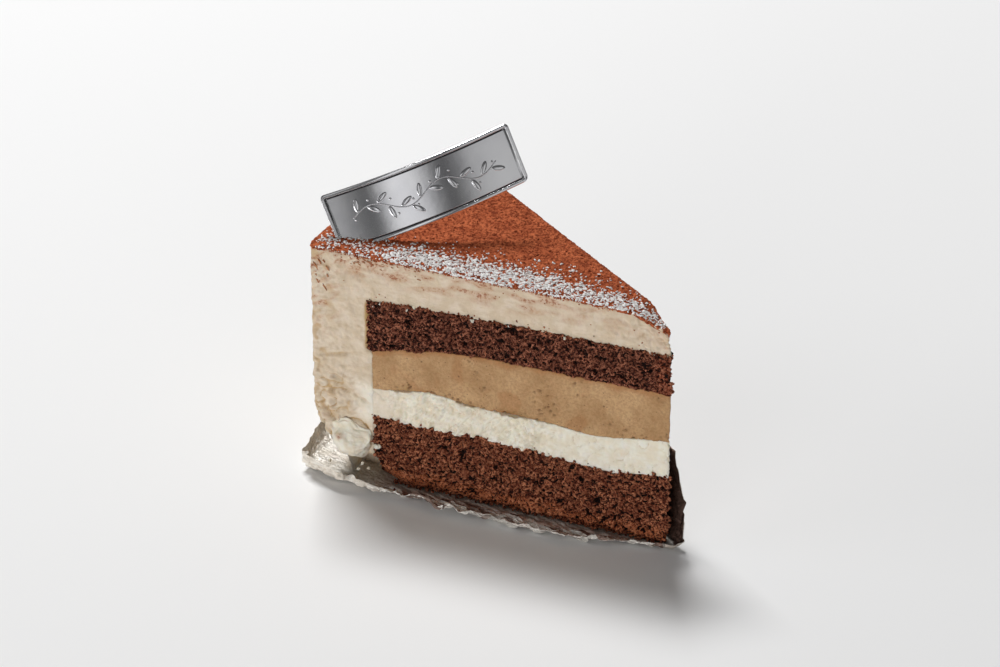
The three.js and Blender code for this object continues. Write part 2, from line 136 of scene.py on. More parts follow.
def cut_station(side, along):
    """A place on a cut face, `along` mm from the tip."""
    turn = -1 if side == NEAR else 1
    return Station(side, along, -COS * along, turn * SIN * along, SIN, turn * COS)


def rim_station(radius, across):
    """A place on the rim, from -1 at the near cut to 1 at the far cut."""
    angle = math.pi - across * HALF_ANGLE
    nx, ny = math.cos(angle), math.sin(angle)
    return Station(RIM, across, nx * radius, ny * radius, nx, ny)


def tip_stations(steps=6):
    """The rounded tip, from -1 beside the near cut to 1 beside the far cut."""
    centre = -TIP_ROUNDING / SIN
    made = []
    for i in range(steps + 1):
        turn = 2 * i / steps - 1
        angle = turn * 0.75 * (math.pi / 2 - HALF_ANGLE)
        nx, ny = math.cos(angle), math.sin(angle)
        made.append(Station(TIP, turn, centre + nx * TIP_ROUNDING, ny * TIP_ROUNDING, nx, ny))
    return made


def cut_places(start, end, spacing):
    """Evenly spaced distances along a cut, both ends included."""
    steps = max(1, round((end - start) / spacing))
    return [lerp(start, end, i / steps) for i in range(steps + 1)]


TIP_START = TIP_ROUNDING / math.tan(HALF_ANGLE)  # where a cut meets the rounding


def outline(radius, near_spacing, far_spacing, rim_steps=12):
    """Stations once round a layer, counterclockwise from the near corner of the rim."""
    near = [cut_station(NEAR, along) for along in reversed(cut_places(TIP_START, radius, near_spacing))]
    far = [cut_station(FAR, along) for along in cut_places(TIP_START, radius, far_spacing)]
    rim = [rim_station(radius, 1 - 2 * i / rim_steps) for i in range(1, rim_steps)]
    return near + tip_stations() + far + rim


print("stations round the base sponge:", len(outline(LOWER_INSERT_RADIUS, 0.22, 0.3)))

# %% [markdown]
# ## Wrapping, closing and finishing a layer
# `create_grid` makes the flat sheet, the vertex moves bend it round the slice, and
# `remove_doubles` welds its two ends. An open end is closed by extruding its edge again and again
# towards the middle of the slice and merging the last ring into one point, which leaves a clean
# pole in the middle instead of one huge face. Two vertex attributes go with the shape: `pore`
# says how deep in a hole or crease a point lies, and `stain` how much of a second colour it has.

# %% Mesh helpers
MARKS = ("pore", "stain")


def wrap(bm, stations, rows, place, closed=True):
    """Wraps a grid round the stations: place(station, up) gives a point, its pore and its stain."""
    layers = [bm.verts.layers.float.get(mark) or bm.verts.layers.float.new(mark) for mark in MARKS]
    columns = len(stations) if closed else len(stations) - 1
    sheet = bmesh.ops.create_grid(bm, x_segments=columns, y_segments=rows, size=0.5)["verts"]
    for vert in sheet:
        column = round((vert.co.x + 0.5) * columns) % len(stations)
        vert.co, *marks = place(stations[column], vert.co.y + 0.5)
        for layer, mark in zip(layers, marks):
            vert[layer] = mark
    bmesh.ops.remove_doubles(bm, verts=bm.verts, dist=1e-4)


def close_end(bm, edges, height, scales=(0.99, 0.94, 0.78, 0.45)):
    """Closes an open end with rings that shrink towards the middle of the slice."""
    previous = 1
    for scale in scales + (0.02,):
        made = bmesh.ops.extrude_edge_only(bm, edges=edges)["geom"]
        ring = {item for item in made if isinstance(item, bmesh.types.BMVert)}
        edges = [e for e in made if isinstance(e, bmesh.types.BMEdge) and ring.issuperset(e.verts)]
        for vert in ring:
            flat = SLICE_MIDDLE + (vert.co.xy - SLICE_MIDDLE) * (scale / previous)
            vert.co = Vector((flat.x, flat.y, height(flat.x, flat.y)))
        previous = scale
    middle = sum((vert.co for vert in ring), Vector()) / len(ring)
    bmesh.ops.pointmerge(bm, verts=list(ring), merge_co=middle)


def open_edges(bm, above=-1e9, below=1e9):
    """The edges of openings whose middles lie between two heights."""
    edges = [edge for edge in bm.edges if edge.is_boundary]
    return [e for e in edges if above < (e.verts[0].co.z + e.verts[1].co.z) / 2 < below]


def finish(bm, name, material, slot, *nodes):
    """Turns a bmesh in millimetres into a finished piece of the slice."""
    bmesh.ops.recalc_face_normals(bm, faces=bm.faces)
    bmesh.ops.transform(bm, matrix=TO_FRAME, verts=bm.verts)
    mesh = bpy.data.meshes.new(name)
    bm.to_mesh(mesh)
    bm.free()
    mesh.shade_smooth()
    mesh.materials.append(material)
    piece = bpy.data.objects.new(name, mesh)
    bpy.context.scene.collection.objects.link(piece)
    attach(piece, "root")
    if nodes:
        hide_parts(*nodes)
    mesh.calc_loop_triangles()
    print(f"{name}: {len(mesh.loop_triangles)} triangles")
    return piece


# %% [markdown]
# ## Building materials from nodes
# A finish is a small graph: patterns in Object coordinates choose between colours, and the same
# patterns feed a bump. A few helpers keep such graphs short to write. Colours are given as they
# are read off a screen, from 0 to 255, and turned into the linear values that a shader takes.

# %% Material helpers
PER_MM = 1000.0  # turns a scale per metre into one per millimetre


def screen(red, green, blue):
    """A screen colour as a linear one."""
    parts = [channel / 255 for channel in (red, green, blue)]
    return tuple(c / 12.92 if c < 0.04 else ((c + 0.055) / 1.055) ** 2.4 for c in parts) + (1,)


def plug(tree, socket, value):
    """Sets a socket to a value, or links another node's output to it."""
    if isinstance(value, bpy.types.NodeSocket):
        tree.links.new(value, socket)
    else:
        socket.default_value = value


def add(tree, kind, inputs=None, **settings):
    """Adds a shader node with its settings and inputs."""
    made = tree.nodes.new("ShaderNode" + kind)
    for name, value in settings.items():
        setattr(made, name, value)
    for name, value in (inputs or {}).items():
        plug(tree, made.inputs[name], value)
    return made


def mix(tree, factor, first, second):
    """A colour between two others."""
    made = add(tree, "Mix", data_type="RGBA")
    for index, value in ((0, factor), (6, first), (7, second)):
        plug(tree, made.inputs[index], value)
    return made.outputs[2]


def calc(tree, operation, first, second=0.0):
    """A Math node's result."""
    made = add(tree, "Math", operation=operation)
    plug(tree, made.inputs[0], first)
    plug(tree, made.inputs[1], second)
    return made.outputs[0]


def times(tree, first, second):
    return calc(tree, "MULTIPLY", first, second)


def plus(tree, first, second):
    return calc(tree, "ADD", first, second)


def between(tree, value, low, high):
    """0 where value is low and 1 where it is high, with a soft step between."""
    inputs = {"Value": value, "From Min": low, "From Max": high}
    return add(tree, "MapRange", inputs, interpolation_type="SMOOTHSTEP").outputs[0]


def new_material(name, **constants):
    """A material with a Principled shader whose constants are set on its own sockets."""
    material = bpy.data.materials.new(name)
    material.use_nodes = True
    tree = material.node_tree
    shader = tree.nodes["Principled BSDF"]
    for label, value in constants.items():
        shader.inputs[label.replace("_", " ")].default_value = value
    return material, tree, shader


def bump(tree, shader, height, distance, strength=1.0):
    """Feeds a height pattern to the shader's normal; distance is its relief in metres."""
    inputs = {"Height": height, "Distance": distance, "Strength": strength}
    plug(tree, shader.inputs["Normal"], add(tree, "Bump", inputs).outputs[0])


def attribute(tree, name):
    """A number that the mesh carries at each vertex."""
    return add(tree, "Attribute", attribute_name=name).outputs["Fac"]


def new_group(name, inputs, outputs):
    """A node group whose named sockets carry plain numbers."""
    group = bpy.data.node_groups.new(name, "ShaderNodeTree")
    for label, value in inputs.items():
        socket = group.interface.new_socket(label, in_out="INPUT", socket_type="NodeSocketFloat")
        socket.default_value = value
    for label in outputs:
        group.interface.new_socket(label, in_out="OUTPUT", socket_type="NodeSocketFloat")
    return group, group.nodes.new("NodeGroupInput").outputs, group.nodes.new("NodeGroupOutput").inputs


# %% [markdown]
# ## Three effects that several finishes share
# Powder, crumb and cream all need an uneven tone, fine grain and scattered specks. Each effect is
# a node group, built once, with its own size and amount in each material.
# *Mottle* is a soft cloudy pattern, *grain* a fine roughness, and *specks* small dots that sit in
# only some of the cells of a Voronoi pattern, so that they look strewn and not tiled.

# %% Shared node groups


def cloud_group(name, detail, roughness):
    inputs = {"Bumps per mm": 1.0, "Low": 0.35, "High": 0.65}
    group, given, result = new_group(name, inputs, ["Mask", "Value"])
    per_metre = times(group, given["Bumps per mm"], PER_MM)
    place = add(group, "TexCoord").outputs["Object"]
    settings = {"Vector": place, "Scale": per_metre, "Detail": detail, "Roughness": roughness}
    value = add(group, "TexNoise", settings).outputs["Fac"]
    plug(group, result["Mask"], between(group, value, given["Low"], given["High"]))
    plug(group, result["Value"], value)
    return group


MOTTLE = cloud_group("Mottle", 3.0, 0.5)
GRAIN = cloud_group("Grain", 6.0, 0.7)  # with more detail, so it is rough at every size


def specks_group():
    group, given, result = new_group("Specks", {"Cells per mm": 1.0, "Share": 0.2, "Size": 0.3}, ["Mask"])
    per_metre = times(group, given["Cells per mm"], PER_MM)
    place = add(group, "TexCoord").outputs["Object"]
    cells = add(group, "TexVoronoi", {"Vector": place, "Scale": per_metre})
    dot = calc(group, "LESS_THAN", cells.outputs["Distance"], given["Size"])
    chosen = add(group, "SeparateColor", {"Color": cells.outputs["Color"]}).outputs["Red"]
    picked = calc(group, "LESS_THAN", chosen, given["Share"])
    plug(group, result["Mask"], times(group, dot, picked))
    return group


SPECKS = specks_group()


def use(tree, group, output="Mask", **inputs):
    """Places a shared group in a material and gives one of its outputs."""
    named = {label.replace("_", " "): value for label, value in inputs.items()}
    return add(tree, "Group", named, node_tree=group).outputs[output]


print("shared effects:", [group.name for group in bpy.data.node_groups])

# %% [markdown]
# ## Chocolate sponge
# Sponge is a stiff foam, and a knife tears it into a crust of small round clumps with dark
# crevices and holes between them, wider than they are high because the cake sank a little as it
# cooled. A bump map can't cast the shadows that make it look open, so all this is real relief:
# the absolute value of noise gives round clumps with sharp valleys, a Voronoi pattern bent by
# noise gives the holes, a slower noise gives broad torn hollows, and the faces are a quarter of a
# millimetre wide to carry them.

# %% Sponge relief
CLUMP_HEIGHT, HOLE_DEPTH, HOLLOW_DEPTH = 1.6, 0.8, 0.9


def crumb(p, seed, cell_width=1.8, squeeze=1.6):
    """How far torn sponge stands out at p, and how deep it lies there; below 0 on a clump's crest."""
    flat = Vector((p.x, p.y, squeeze * p.z + seed))
    bent = flat + 0.5 * noise.noise_vector(flat / 0.9)
    clumps = abs(noise.noise(bent / 1.15)) + 0.55 * abs(noise.noise(bent / 0.52 + Vector((5, 0, 0))))
    distances, cells = noise.voronoi(bent / cell_width)
    opening = 0.26 + 0.34 * noise.noise(cells[0] * 0.8)
    hole = 1 - ease(distances[0], 0.3 * opening, opening + 0.12)
    hollow = ease(noise.noise(flat / 2.7 + Vector((9, 0, 0))), 0.2, 0.6)
    crevice, crest = 1 - ease(clumps, 0.04, 0.3), ease(clumps, 0.28, 0.6)
    broad = 0.36 * noise.noise(flat / 2.4)
    out = broad + CLUMP_HEIGHT * min(clumps, 0.8) - 0.44 - HOLE_DEPTH * hole - HOLLOW_DEPTH * hollow
    # The second value is the mask for painted shade in crevices, holes and hollows, and for painted
    # highlights on crests.
    return out, min(1, 0.85 * crevice - 0.8 * crest + 1.1 * hole + 0.6 * hollow - 0.5 * broad)


def ragged(p, seed, strength=1.0):
    """How far the line between two layers wanders up or down."""
    q = Vector((p.x, p.y, seed))
    return strength * (0.34 * noise.noise(q / 2.7) + 0.3 * noise.noise(q / 0.8))


def boundary(height, seed, strength=1.0):
    """The height of a boundary between layers at a station, measured from the ground."""

    def at(station):
        place = Vector((station.x, station.y))
        wander = 0 if station.side == RIM else ragged(place, seed, strength)
        return CAKE_FLOOR + height(place.length) + wander

    return at


base_top = boundary(BASE_SPONGE_TOP, 11)
filling_top = boundary(FILLING_TOP, 23, 0.7)
mousse_top = boundary(MOUSSE_TOP, 37, 0.6)
upper_top = boundary(UPPER_SPONGE_TOP, 51, 1.2)


def build_layer(name, radius, spacings, floor, ceiling, relief, material, slot, node):
    """A layer of the insert: a wall between two boundaries, closed above and below."""
    stations = outline(radius, *spacings)
    middle = cut_station(NEAR, radius / 2)
    rows = round((ceiling(middle) - floor(middle)) / spacings[0])
    waist = (ceiling(middle) + floor(middle)) / 2

    def place(station, up):
        p = Vector((station.x, station.y, lerp(floor(station), ceiling(station), up)))
        if station.side == RIM:
            return p, 0, 0
        out, draw_in, pore, stain = relief(p, station)
        p.xy *= 1 - draw_in / CAKE_RADIUS
        return p + Vector((station.nx, station.ny, 0)) * out, pore, stain

    bm = bmesh.new()
    wrap(bm, stations, rows, place)
    on_top = open_edges(bm, above=waist)
    close_end(bm, open_edges(bm, below=waist), lambda x, y: floor(Station(RIM, 0, x, y, 0, 0)))
    close_end(bm, on_top, lambda x, y: ceiling(Station(RIM, 0, x, y, 0, 0)))
    return finish(bm, name, material, slot, node)


# %% [markdown]
# The finish follows the relief. One fine grain drives both the colour and the bump, and the colour
# carries painted light: what stands up is a light reddish brown, a painted highlight, and what lies
# low is dark, painted shade. The pore attribute paints holes and crevices almost black and clump
# crests lighter, as painted shade and painted highlights. A slow mottle makes some patches brighter
# than others, and the stain attribute marks the baked foot, painted lighter too, and the tip, whose
# redness is painted light.

# %% Sponge finish
PAINTED_HOLE_SHADE = screen(26, 9, 6)


def sponge_material(name, shade, crumb_colour, bright, second_colour):
    material, tree, shader = new_material(name, Roughness=0.85, Specular_IOR_Level=0.3)
    depth = attribute(tree, "pore")
    cloud = use(tree, MOTTLE, Bumps_per_mm=0.5, Low=0.36, High=0.64)
    grain = use(tree, GRAIN, "Value", Bumps_per_mm=1.5)
    # Painted highlight: the grain's peaks and the clump crests lighten towards the bright colour.
    crest = between(tree, times(tree, depth, -1.0), 0.2, 0.8)
    fleck = calc(tree, "MAXIMUM", between(tree, grain, 0.485, 0.57), times(tree, crest, 0.5))
    strength = plus(tree, times(tree, cloud, 0.6), 0.4)
    tone = mix(tree, times(tree, attribute(tree, "stain"), 0.65), crumb_colour, second_colour)
    tone = mix(tree, times(tree, fleck, strength), tone, bright)
    # Painted shade: the grain's low spots darken to the shade colour.
    tone = mix(tree, between(tree, grain, 0.4, 0.475), shade, tone)
    # Painted shade: holes and crevices, from the pore attribute, turn almost black.
    colour = mix(tree, between(tree, depth, 0.05, 0.6), tone, PAINTED_HOLE_SHADE)
    plug(tree, shader.inputs["Base Color"], colour)
    bump(tree, shader, grain, 0.0014)
    return material


# %% [markdown]
# The base sponge fills the bottom of the insert. Its lower corner beside the rim is worn away, as
# the photograph shows, so the wall there is drawn in towards the tip. Its foot was the baked
# underside and is more orange, and it is also painted lighter: painted light against the shade
# that the foil's lip casts on it.

# %% Base sponge
WORN_HEIGHT, WORN_DEPTH = 6.2, 11


def base_relief(p, station):
    out, pore = crumb(p, seed=3.0)
    above = p.z - CAKE_FLOOR
    below = 1 - min(max(above / WORN_HEIGHT, 0), 1)
    beside_rim = ease(station.along, 0.7 * LOWER_INSERT_RADIUS, LOWER_INSERT_RADIUS)
    draw_in = WORN_DEPTH * below**1.6 * beside_rim if station.side == NEAR else 0
    tucked = 0.3 * (1 - ease(above, 0, 1.0))
    # The foot's colour is baked orange, and it is painted lighter against the foil lip's shade.
    baked_and_lightened = 1 - ease(above + 1.6 * noise.noise(p / 2.4), 2.2, 4.4)
    return out - tucked, draw_in, pore, baked_and_lightened


BASE_SPONGE = sponge_material(
    "Base sponge", screen(54, 22, 14), screen(134, 64, 42), screen(255, 170, 126), screen(226, 128, 80)
)
build_layer(
    "base_sponge_crumb",
    LOWER_INSERT_RADIUS,
    (0.22, 0.3),
    lambda station: CAKE_FLOOR - 0.15,
    base_top,
    base_relief,
    BASE_SPONGE,
    "chocolate_sponge",
    "sponge_base",
)

# %% [markdown]
# The upper sponge is the same crumb, a little greyer, and it turns redder at the tip: painted light,
# standing in for the light that comes through it there.

# %% Upper sponge


def upper_relief(p, station):
    out, pore = crumb(p, seed=90.0)
    along = 0 if station.side == TIP else station.along
    corner = 2.2 * (1 - ease(along, 0, 3)) * ease(p.z, upper_top(station) - 5, upper_top(station))
    # The last value is the tip's painted glow, light standing in for what shines through the sponge.
    return out - corner, 0, pore, 0.9 * (1 - ease(along + 2 * noise.noise(p / 2), 1.5, 5.5))


# Its last colour is the tip's redness, painted light.
UPPER_SPONGE = sponge_material(
    "Upper sponge", screen(40, 17, 12), screen(108, 51, 36), screen(246, 162, 126), screen(186, 84, 48)
)
build_layer(
    "upper_sponge_crumb",
    INSERT_RADIUS,
    (0.22, 0.3),
    mousse_top,
    upper_top,
    upper_relief,
    UPPER_SPONGE,
    "chocolate_sponge",
    "sponge_upper",
)

# %% [markdown]
# ## Whipped cream
# Cream scatters light under its surface, which softens every shadow on it. A little subsurface
# scattering does the same. Its tone is uneven: greyer where the knife smoothed it, yellow where
# butterfat was smeared, with thin scratches along the cut. The scratches come from a noise that
# is stretched along the near cut, by turning the coordinates until that cut lies along X. Where
# the mesh carries a stain, cocoa has been dragged into the cream, in grains and small strokes.
# The coat and the lower cream run into each other at the left, beside the insert, so a pore below
# zero blends one cream into its neighbour.

# %% Cream finish


def cream_material(name, tone, fat, hollow, second_colour, neighbour):
    material, tree, shader = new_material(name, Roughness=0.5, Subsurface_Weight=0.3)
    shader.inputs["Subsurface Scale"].default_value = 0.0012
    shader.inputs["Subsurface Radius"].default_value = (1.0, 0.75, 0.5)
    place = add(tree, "TexCoord").outputs["Object"]
    turned = add(tree, "Mapping", {"Vector": place, "Rotation": (0, 0, -HALF_ANGLE), "Scale": (0.15, 1, 1)})
    drag_inputs = {"Vector": turned.outputs[0], "Scale": PER_MM, "Detail": 4.0}
    drag = add(tree, "TexNoise", drag_inputs).outputs["Fac"]
    cloud = use(tree, MOTTLE, Bumps_per_mm=0.35, Low=0.36, High=0.64)
    colour = mix(tree, times(tree, cloud, 0.5), tone, fat)
    colour = mix(tree, times(tree, between(tree, drag, 0.48, 0.7), 0.45), colour, fat)
    depth = attribute(tree, "pore")
    # Where pore is above zero the cream turns ochre: butterfat where the coat marks it so, and painted
    # shade in creases, folds and torn gaps.
    colour = mix(tree, between(tree, depth, 0.05, 1.0), colour, hollow)
    colour = mix(tree, between(tree, times(tree, depth, -1.0), 0.0, 1.0), colour, neighbour)
    grain = use(tree, GRAIN, Bumps_per_mm=1.3, Low=0.42, High=0.6)
    stain = attribute(tree, "stain")
    soft = times(tree, stain, plus(tree, times(tree, grain, 0.45), 0.4))
    colour = mix(tree, soft, colour, second_colour)
    strong = between(tree, times(tree, stain, grain), 0.5, 0.95)
    colour = mix(tree, strong, colour, DRAGGED_COCOA)
    plug(tree, shader.inputs["Base Color"], colour)
    fine = use(tree, GRAIN, "Value", Bumps_per_mm=1.4)
    bump(tree, shader, plus(tree, fine, times(tree, drag, 0.6)), 0.00035, 0.8)
    return material


DRAGGED_COCOA = screen(158, 94, 60)
OCHRE = screen(190, 150, 88)
COCOA_TINT = screen(190, 136, 98)
COAT_TONE, LOWER_TONE = screen(229, 212, 190), screen(252, 245, 230)
COAT_FAT, LOWER_FAT = screen(208, 186, 154), screen(238, 224, 196)
COAT_CREAM = cream_material("Coat cream", COAT_TONE, COAT_FAT, OCHRE, COCOA_TINT, LOWER_TONE)
LOWER_CREAM = cream_material("Lower cream", LOWER_TONE, LOWER_FAT, OCHRE, COCOA_TINT, COAT_TONE)
print("creams:", COAT_CREAM.name, "and", LOWER_CREAM.name)

# %% [markdown]
# ## Lower cream
# The lower cream was cold and stiff when it was cut, and the knife pulled it up into torn upright
# folds along the middle of the near cut. Nearer the tip it is smooth, with a few fine cracks.

# %% Lower cream


def filling_relief(p, station):
    along = 0 if station.side == TIP else station.along
    torn = ease(along, 24, 36) * (1 - ease(along, 66, 74))
    side = 0 if station.side == NEAR else 40
    slant = along + 0.5 * p.z + 1.6 * noise.noise(Vector((along / 5, side, p.z / 3)))
    fold = noise.noise(Vector((slant / 1.1, side, p.z / 5)))
    broad = noise.noise(Vector((slant / 3.2, side + 7, p.z / 6)))
    crack = 1 - ease(abs(noise.noise(Vector((p.x, p.y, p.z)) / 3.6)), 0.0, 0.03)
    lumps = abs(noise.noise(p / 1.7 + Vector((2, 0, 0)))) + 0.5 * abs(noise.noise(p / 0.8))
    out = torn * (0.1 - 0.9 * abs(fold) + 1.2 * broad + 1.5 * lumps) + 0.3 * noise.noise(p / 2.4)
    out += 0.16 * noise.noise(p / 0.9) - 0.5 * crack * (1 - 0.6 * torn)
    # The pore is painted shade: the cream darkens to ochre in the torn gaps between lumps and in the
    # cracks.
    pore = max(0.5 * torn * (1 - ease(lumps, 0.02, 0.16)), 0.5 * crack)
    return out, 0, pore - 0.6 * ease(along, 58, 75), 0


build_layer(
    "lower_cream",
    LOWER_INSERT_RADIUS,
    (0.28, 0.35),
    base_top,
    filling_top,
    filling_relief,
    LOWER_CREAM,
    "whipped_cream",
    "cream_filling",
)

# %% [markdown]
# ## Coffee mousse
# Mousse cuts almost smooth. What shows is a tan body, darker along its top where the sponge has
# soaked it, small air holes in loose groups, and a row of larger pits along its lower edge. The
# smallest holes are finer than the mesh, so they are specks in the colour and the bump. Holes and
# pits are darkened in the colour, as painted shade.

# %% Coffee mousse


def mousse_relief(p, station):
    low = 1 - ease(p.z - filling_top(station), 0.3, 2.0)
    group = ease(noise.noise(p / 6 + Vector((3, 0, 0))), 0.2, 0.45)
    bubble = noise.voronoi(p / 1.25)[0][0]
    pit = (1 - ease(bubble, 0.12, 0.34)) * max(low, group)
    wave = 0.24 * noise.noise(p / 4.5) + 0.1 * noise.noise(p / 1.2)
    below_sponge = mousse_top(station) - p.z + 1.2 * noise.noise(p / 5)
    soaked = 0.9 * (1 - ease(below_sponge, 0.2, 1.8)) + 0.5 * ease(noise.noise(p / 5), 0.28, 0.5)
    return wave - 0.5 * pit, 0, 0.8 * pit, min(1, soaked)


def mousse_material():
    material, tree, shader = new_material("Coffee mousse", Roughness=0.6, Subsurface_Weight=0.12)
    shader.inputs["Subsurface Scale"].default_value = 0.001
    cloud = use(tree, MOTTLE, Bumps_per_mm=0.15, Low=0.3, High=0.7)
    colour = mix(tree, cloud, screen(178, 138, 93), screen(204, 165, 120))
    colour = mix(tree, times(tree, attribute(tree, "stain"), 0.75), colour, screen(174, 116, 64))
    grain = use(tree, GRAIN, Bumps_per_mm=1.6, Low=0.42, High=0.6)
    colour = mix(tree, times(tree, grain, 0.4), colour, screen(148, 106, 64))
    holes = use(tree, SPECKS, Cells_per_mm=1.3, Share=0.16, Size=0.2)
    larger = use(tree, SPECKS, Cells_per_mm=0.55, Share=0.1, Size=0.15)
    hole = calc(tree, "MAXIMUM", holes, larger)
    # Painted shade: holes and pits darken.
    dark = calc(tree, "MAXIMUM", times(tree, hole, 0.6), attribute(tree, "pore"))
    plug(tree, shader.inputs["Base Color"], mix(tree, dark, colour, screen(98, 66, 40)))
    fine = use(tree, GRAIN, "Value", Bumps_per_mm=1.2)
    bump(tree, shader, calc(tree, "SUBTRACT", fine, times(tree, hole, 0.5)), 0.0003, 0.8)
    return material


build_layer(
    "coffee_mousse_layer",
    LOWER_INSERT_RADIUS,
    (0.32, 0.4),
    filling_top,
    mousse_top,
    mousse_relief,
    mousse_material(),
    "coffee_mousse",
    "coffee_mousse",
)

# %% [markdown]
# ## Cream coat
# The coat is an upside-down L in section: a crown over the insert and a skirt down the rim. It is
# made from two sheets of grid, the crown all the way round above the upper sponge and the skirt
# round the rim below it, and they are welded along the line where they meet. The skirt's foot
# curves in above the foil, the tip has slumped back a little, and the near cut carries the marks
# of the knife: fine drag, cocoa pulled down from the top, and at the lower left a curdled surface
# with ochre cracks.

# %% The coat's shape
TIP_SLUMP, SLUMP_REACH = 2.3, 12
TIP_DIP = 3
NEAR_TUCK = profile([(0, 9.6), (5.5, 8.2), (8.5, 5.5), (11.5, 2.6), (14.6, 0.7), (17.8, 0)])
RIM_TUCK_SHARE = 0.45  # of the tuck on the near cut
UNDERCUT_DEPTH, UNDERCUT_FROM, UNDERCUT_HEIGHT = 6.0, 73, 6.4
PETAL_ALONG, PETAL_HEIGHT = 80.4, 10.4  # middle of the petal of cream at the foot, above the ground
CREASES = (((84.5, 24.0), (75.4, 20.4)), ((90.5, 19.5), (84.6, 13.2)), ((88.5, 31.0), (80.0, 33.5)))
print("creases in the near cut:", len(CREASES), "and the deepest undercut:", UNDERCUT_DEPTH, "mm")


def cream_top(x, y):
    """The cream's upper face, which dips over the slumped tip."""
    dip = TIP_DIP * (1 - ease(math.hypot(x, y), 0, SLUMP_REACH)) ** 1.5
    return CREAM_TOP + 0.2 * noise.noise(Vector((x, y, 0)) / 14) - dip


def slumped_back(p):
    """How far the slump has carried a point back from the tip."""
    tipward = 1 - ease(math.hypot(p.x, p.y), 0, SLUMP_REACH)
    return TIP_SLUMP * tipward * ease(p.z - CAKE_FLOOR, 47.5, 61)


def slumped_top(x, y):
    """The cream's upper face after the slump, just under the cocoa."""
    return cream_top(x + slumped_back(Vector((x, y, CREAM_TOP))), y) - 0.15


def foot_tuck(station, z):
    """How far the foot of the skirt is drawn in towards the tip."""
    near_share = {NEAR: 1, FAR: 0}.get(station.side, ease(-station.along, 0, 1))
    return NEAR_TUCK(z) * lerp(RIM_TUCK_SHARE, 1, near_share)


def crease_depth(along, z):
    """1 in the middle of a crease on the near cut, and 0 away from it."""
    here, deepest = Vector((along, z)), 0
    for start, end in CREASES:
        start, run = Vector(start), Vector(end) - Vector(start)
        share = min(max((here - start).dot(run) / run.length_squared, 0), 1)
        offset = (here - start - run * share).length + 0.5 * noise.noise(Vector((along / 1.6, z / 1.6, 3)))
        deepest = max(deepest, math.exp(-((offset / 0.45) ** 2)) * math.sin(math.pi * (0.15 + 0.7 * share)))
    return deepest


def arch_depth(along, z):
    """1 in the crease that arches over the petal."""
    from_petal = Vector((along - PETAL_ALONG, z - PETAL_HEIGHT))
    wander = 0.35 * noise.noise(Vector((along / 1.5, z / 1.5, 9)))
    return math.exp(-(((from_petal.length - 5.0 + wander) / 0.36) ** 2)) * ease(from_petal.y, 1.6, 3.6)


def cocoa_stain(p, along):
    """How much cocoa the knife has dragged into the cut at a point of the coat."""
    depth = cream_top(p.x, p.y) - p.z
    cloud = ease(noise.noise(Vector((along / 5.5, 7, depth / 1.5))), -0.25, 0.3)
    band = (1 - ease(depth, 3.8, 8.2)) * cloud * (1 - ease(along, 78, 85))
    band *= lerp(0.35, 1, ease(along, 8, 30))
    edge = (1 - ease(depth, 0.2, 1.3)) * (0.6 + noise.noise(p / 0.9))
    slanted = Vector((0.6 * along + p.z, 0.35 * (along - 0.6 * p.z), 3))
    stroke = ease(noise.noise(slanted / 1.1), -0.05, 0.35)
    corner = ease(along, 80, 88) * (1 - ease(depth, 12, 26)) * stroke
    under_edge = (1 - ease(depth, 2.0, 4.6)) * ease(along, 60, 70) * stroke
    return min(1, max(0.85 * band, edge, 0.9 * corner, under_edge))


def coat_relief(p, station):
    """How far the coat stands out of its side, its pore and its stain."""
    if station.side == RIM:
        return 0.3 * noise.noise(Vector((p.x / 9, p.y / 9, p.z / 4))), 0, 0
    along = 0 if station.side == TIP else station.along
    drag = 0.2 * noise.noise(Vector((p.x / 9, p.y / 9, p.z / 2.2)))
    rough = 0.34 * noise.noise(p / 2.8) + 0.2 * noise.noise(p / 1.05) + 0.1 * noise.noise(p / 0.5)
    rough *= 0.55 + 0.9 * ease(along, 70, 80) + 0.8 * (1 - ease(along, 4, 30))
    stain = cocoa_stain(p, along)
    butter = 0.5 * ease(noise.noise(p / 2.1 + Vector((0, 4, 0))), 0.1, 0.45) * ease(along, 80, 88)
    soaked = math.exp(-(((along - INSERT_RADIUS - 0.15) / 0.5) ** 2))
    soaked *= ease(p.z, 34, 37) * (1 - ease(p.z, 47, 49))
    low_left = ease(along, 77, 83) * (1 - ease(p.z, 22, 36)) + 0.6 * (1 - ease(along, 3, 16))
    crack = low_left * (1 - ease(abs(noise.noise(p / 2.8 + Vector((0, 0, 8)))), 0.0, 0.15))
    butter = max(butter, 0.9 * soaked, 0.75 * crack)
    rough += 1.3 * low_left * (abs(noise.noise(p / 1.7)) - 0.2) - 0.4 * crack
    if station.side != NEAR:
        return drag + rough, butter, stain
    arch, crease = arch_depth(along, p.z), crease_depth(along, p.z)
    low = 1 - ease(p.z - CAKE_FLOOR, UNDERCUT_HEIGHT / 2, UNDERCUT_HEIGHT)
    undercut = UNDERCUT_DEPTH * low * ease(along, UNDERCUT_FROM, UNDERCUT_FROM + 1)
    out = drag + rough - 0.6 * arch - 0.6 * crease - undercut
    from_insert = along + 3 * noise.noise(p / 3)
    merged = (1 - ease(from_insert, 75, 85)) * ease(p.z, 13, 18) * (1 - ease(p.z, 24, 29))
    # Arch and crease go into the pore as painted shade: the cream darkens to ochre in its creases.
    return out, max(butter, 0.95 * arch, 0.5 * crease) - 0.8 * merged, stain


# %% [markdown]
# The skirt's inner edge on a cut follows the insert: the upper sponge reaches a millimetre
# further out than the layers below it, so the edge steps in where the mousse begins.

# %% The coat's two sheets
CUT_SPACING, RIM_STEPS = 0.34, 90


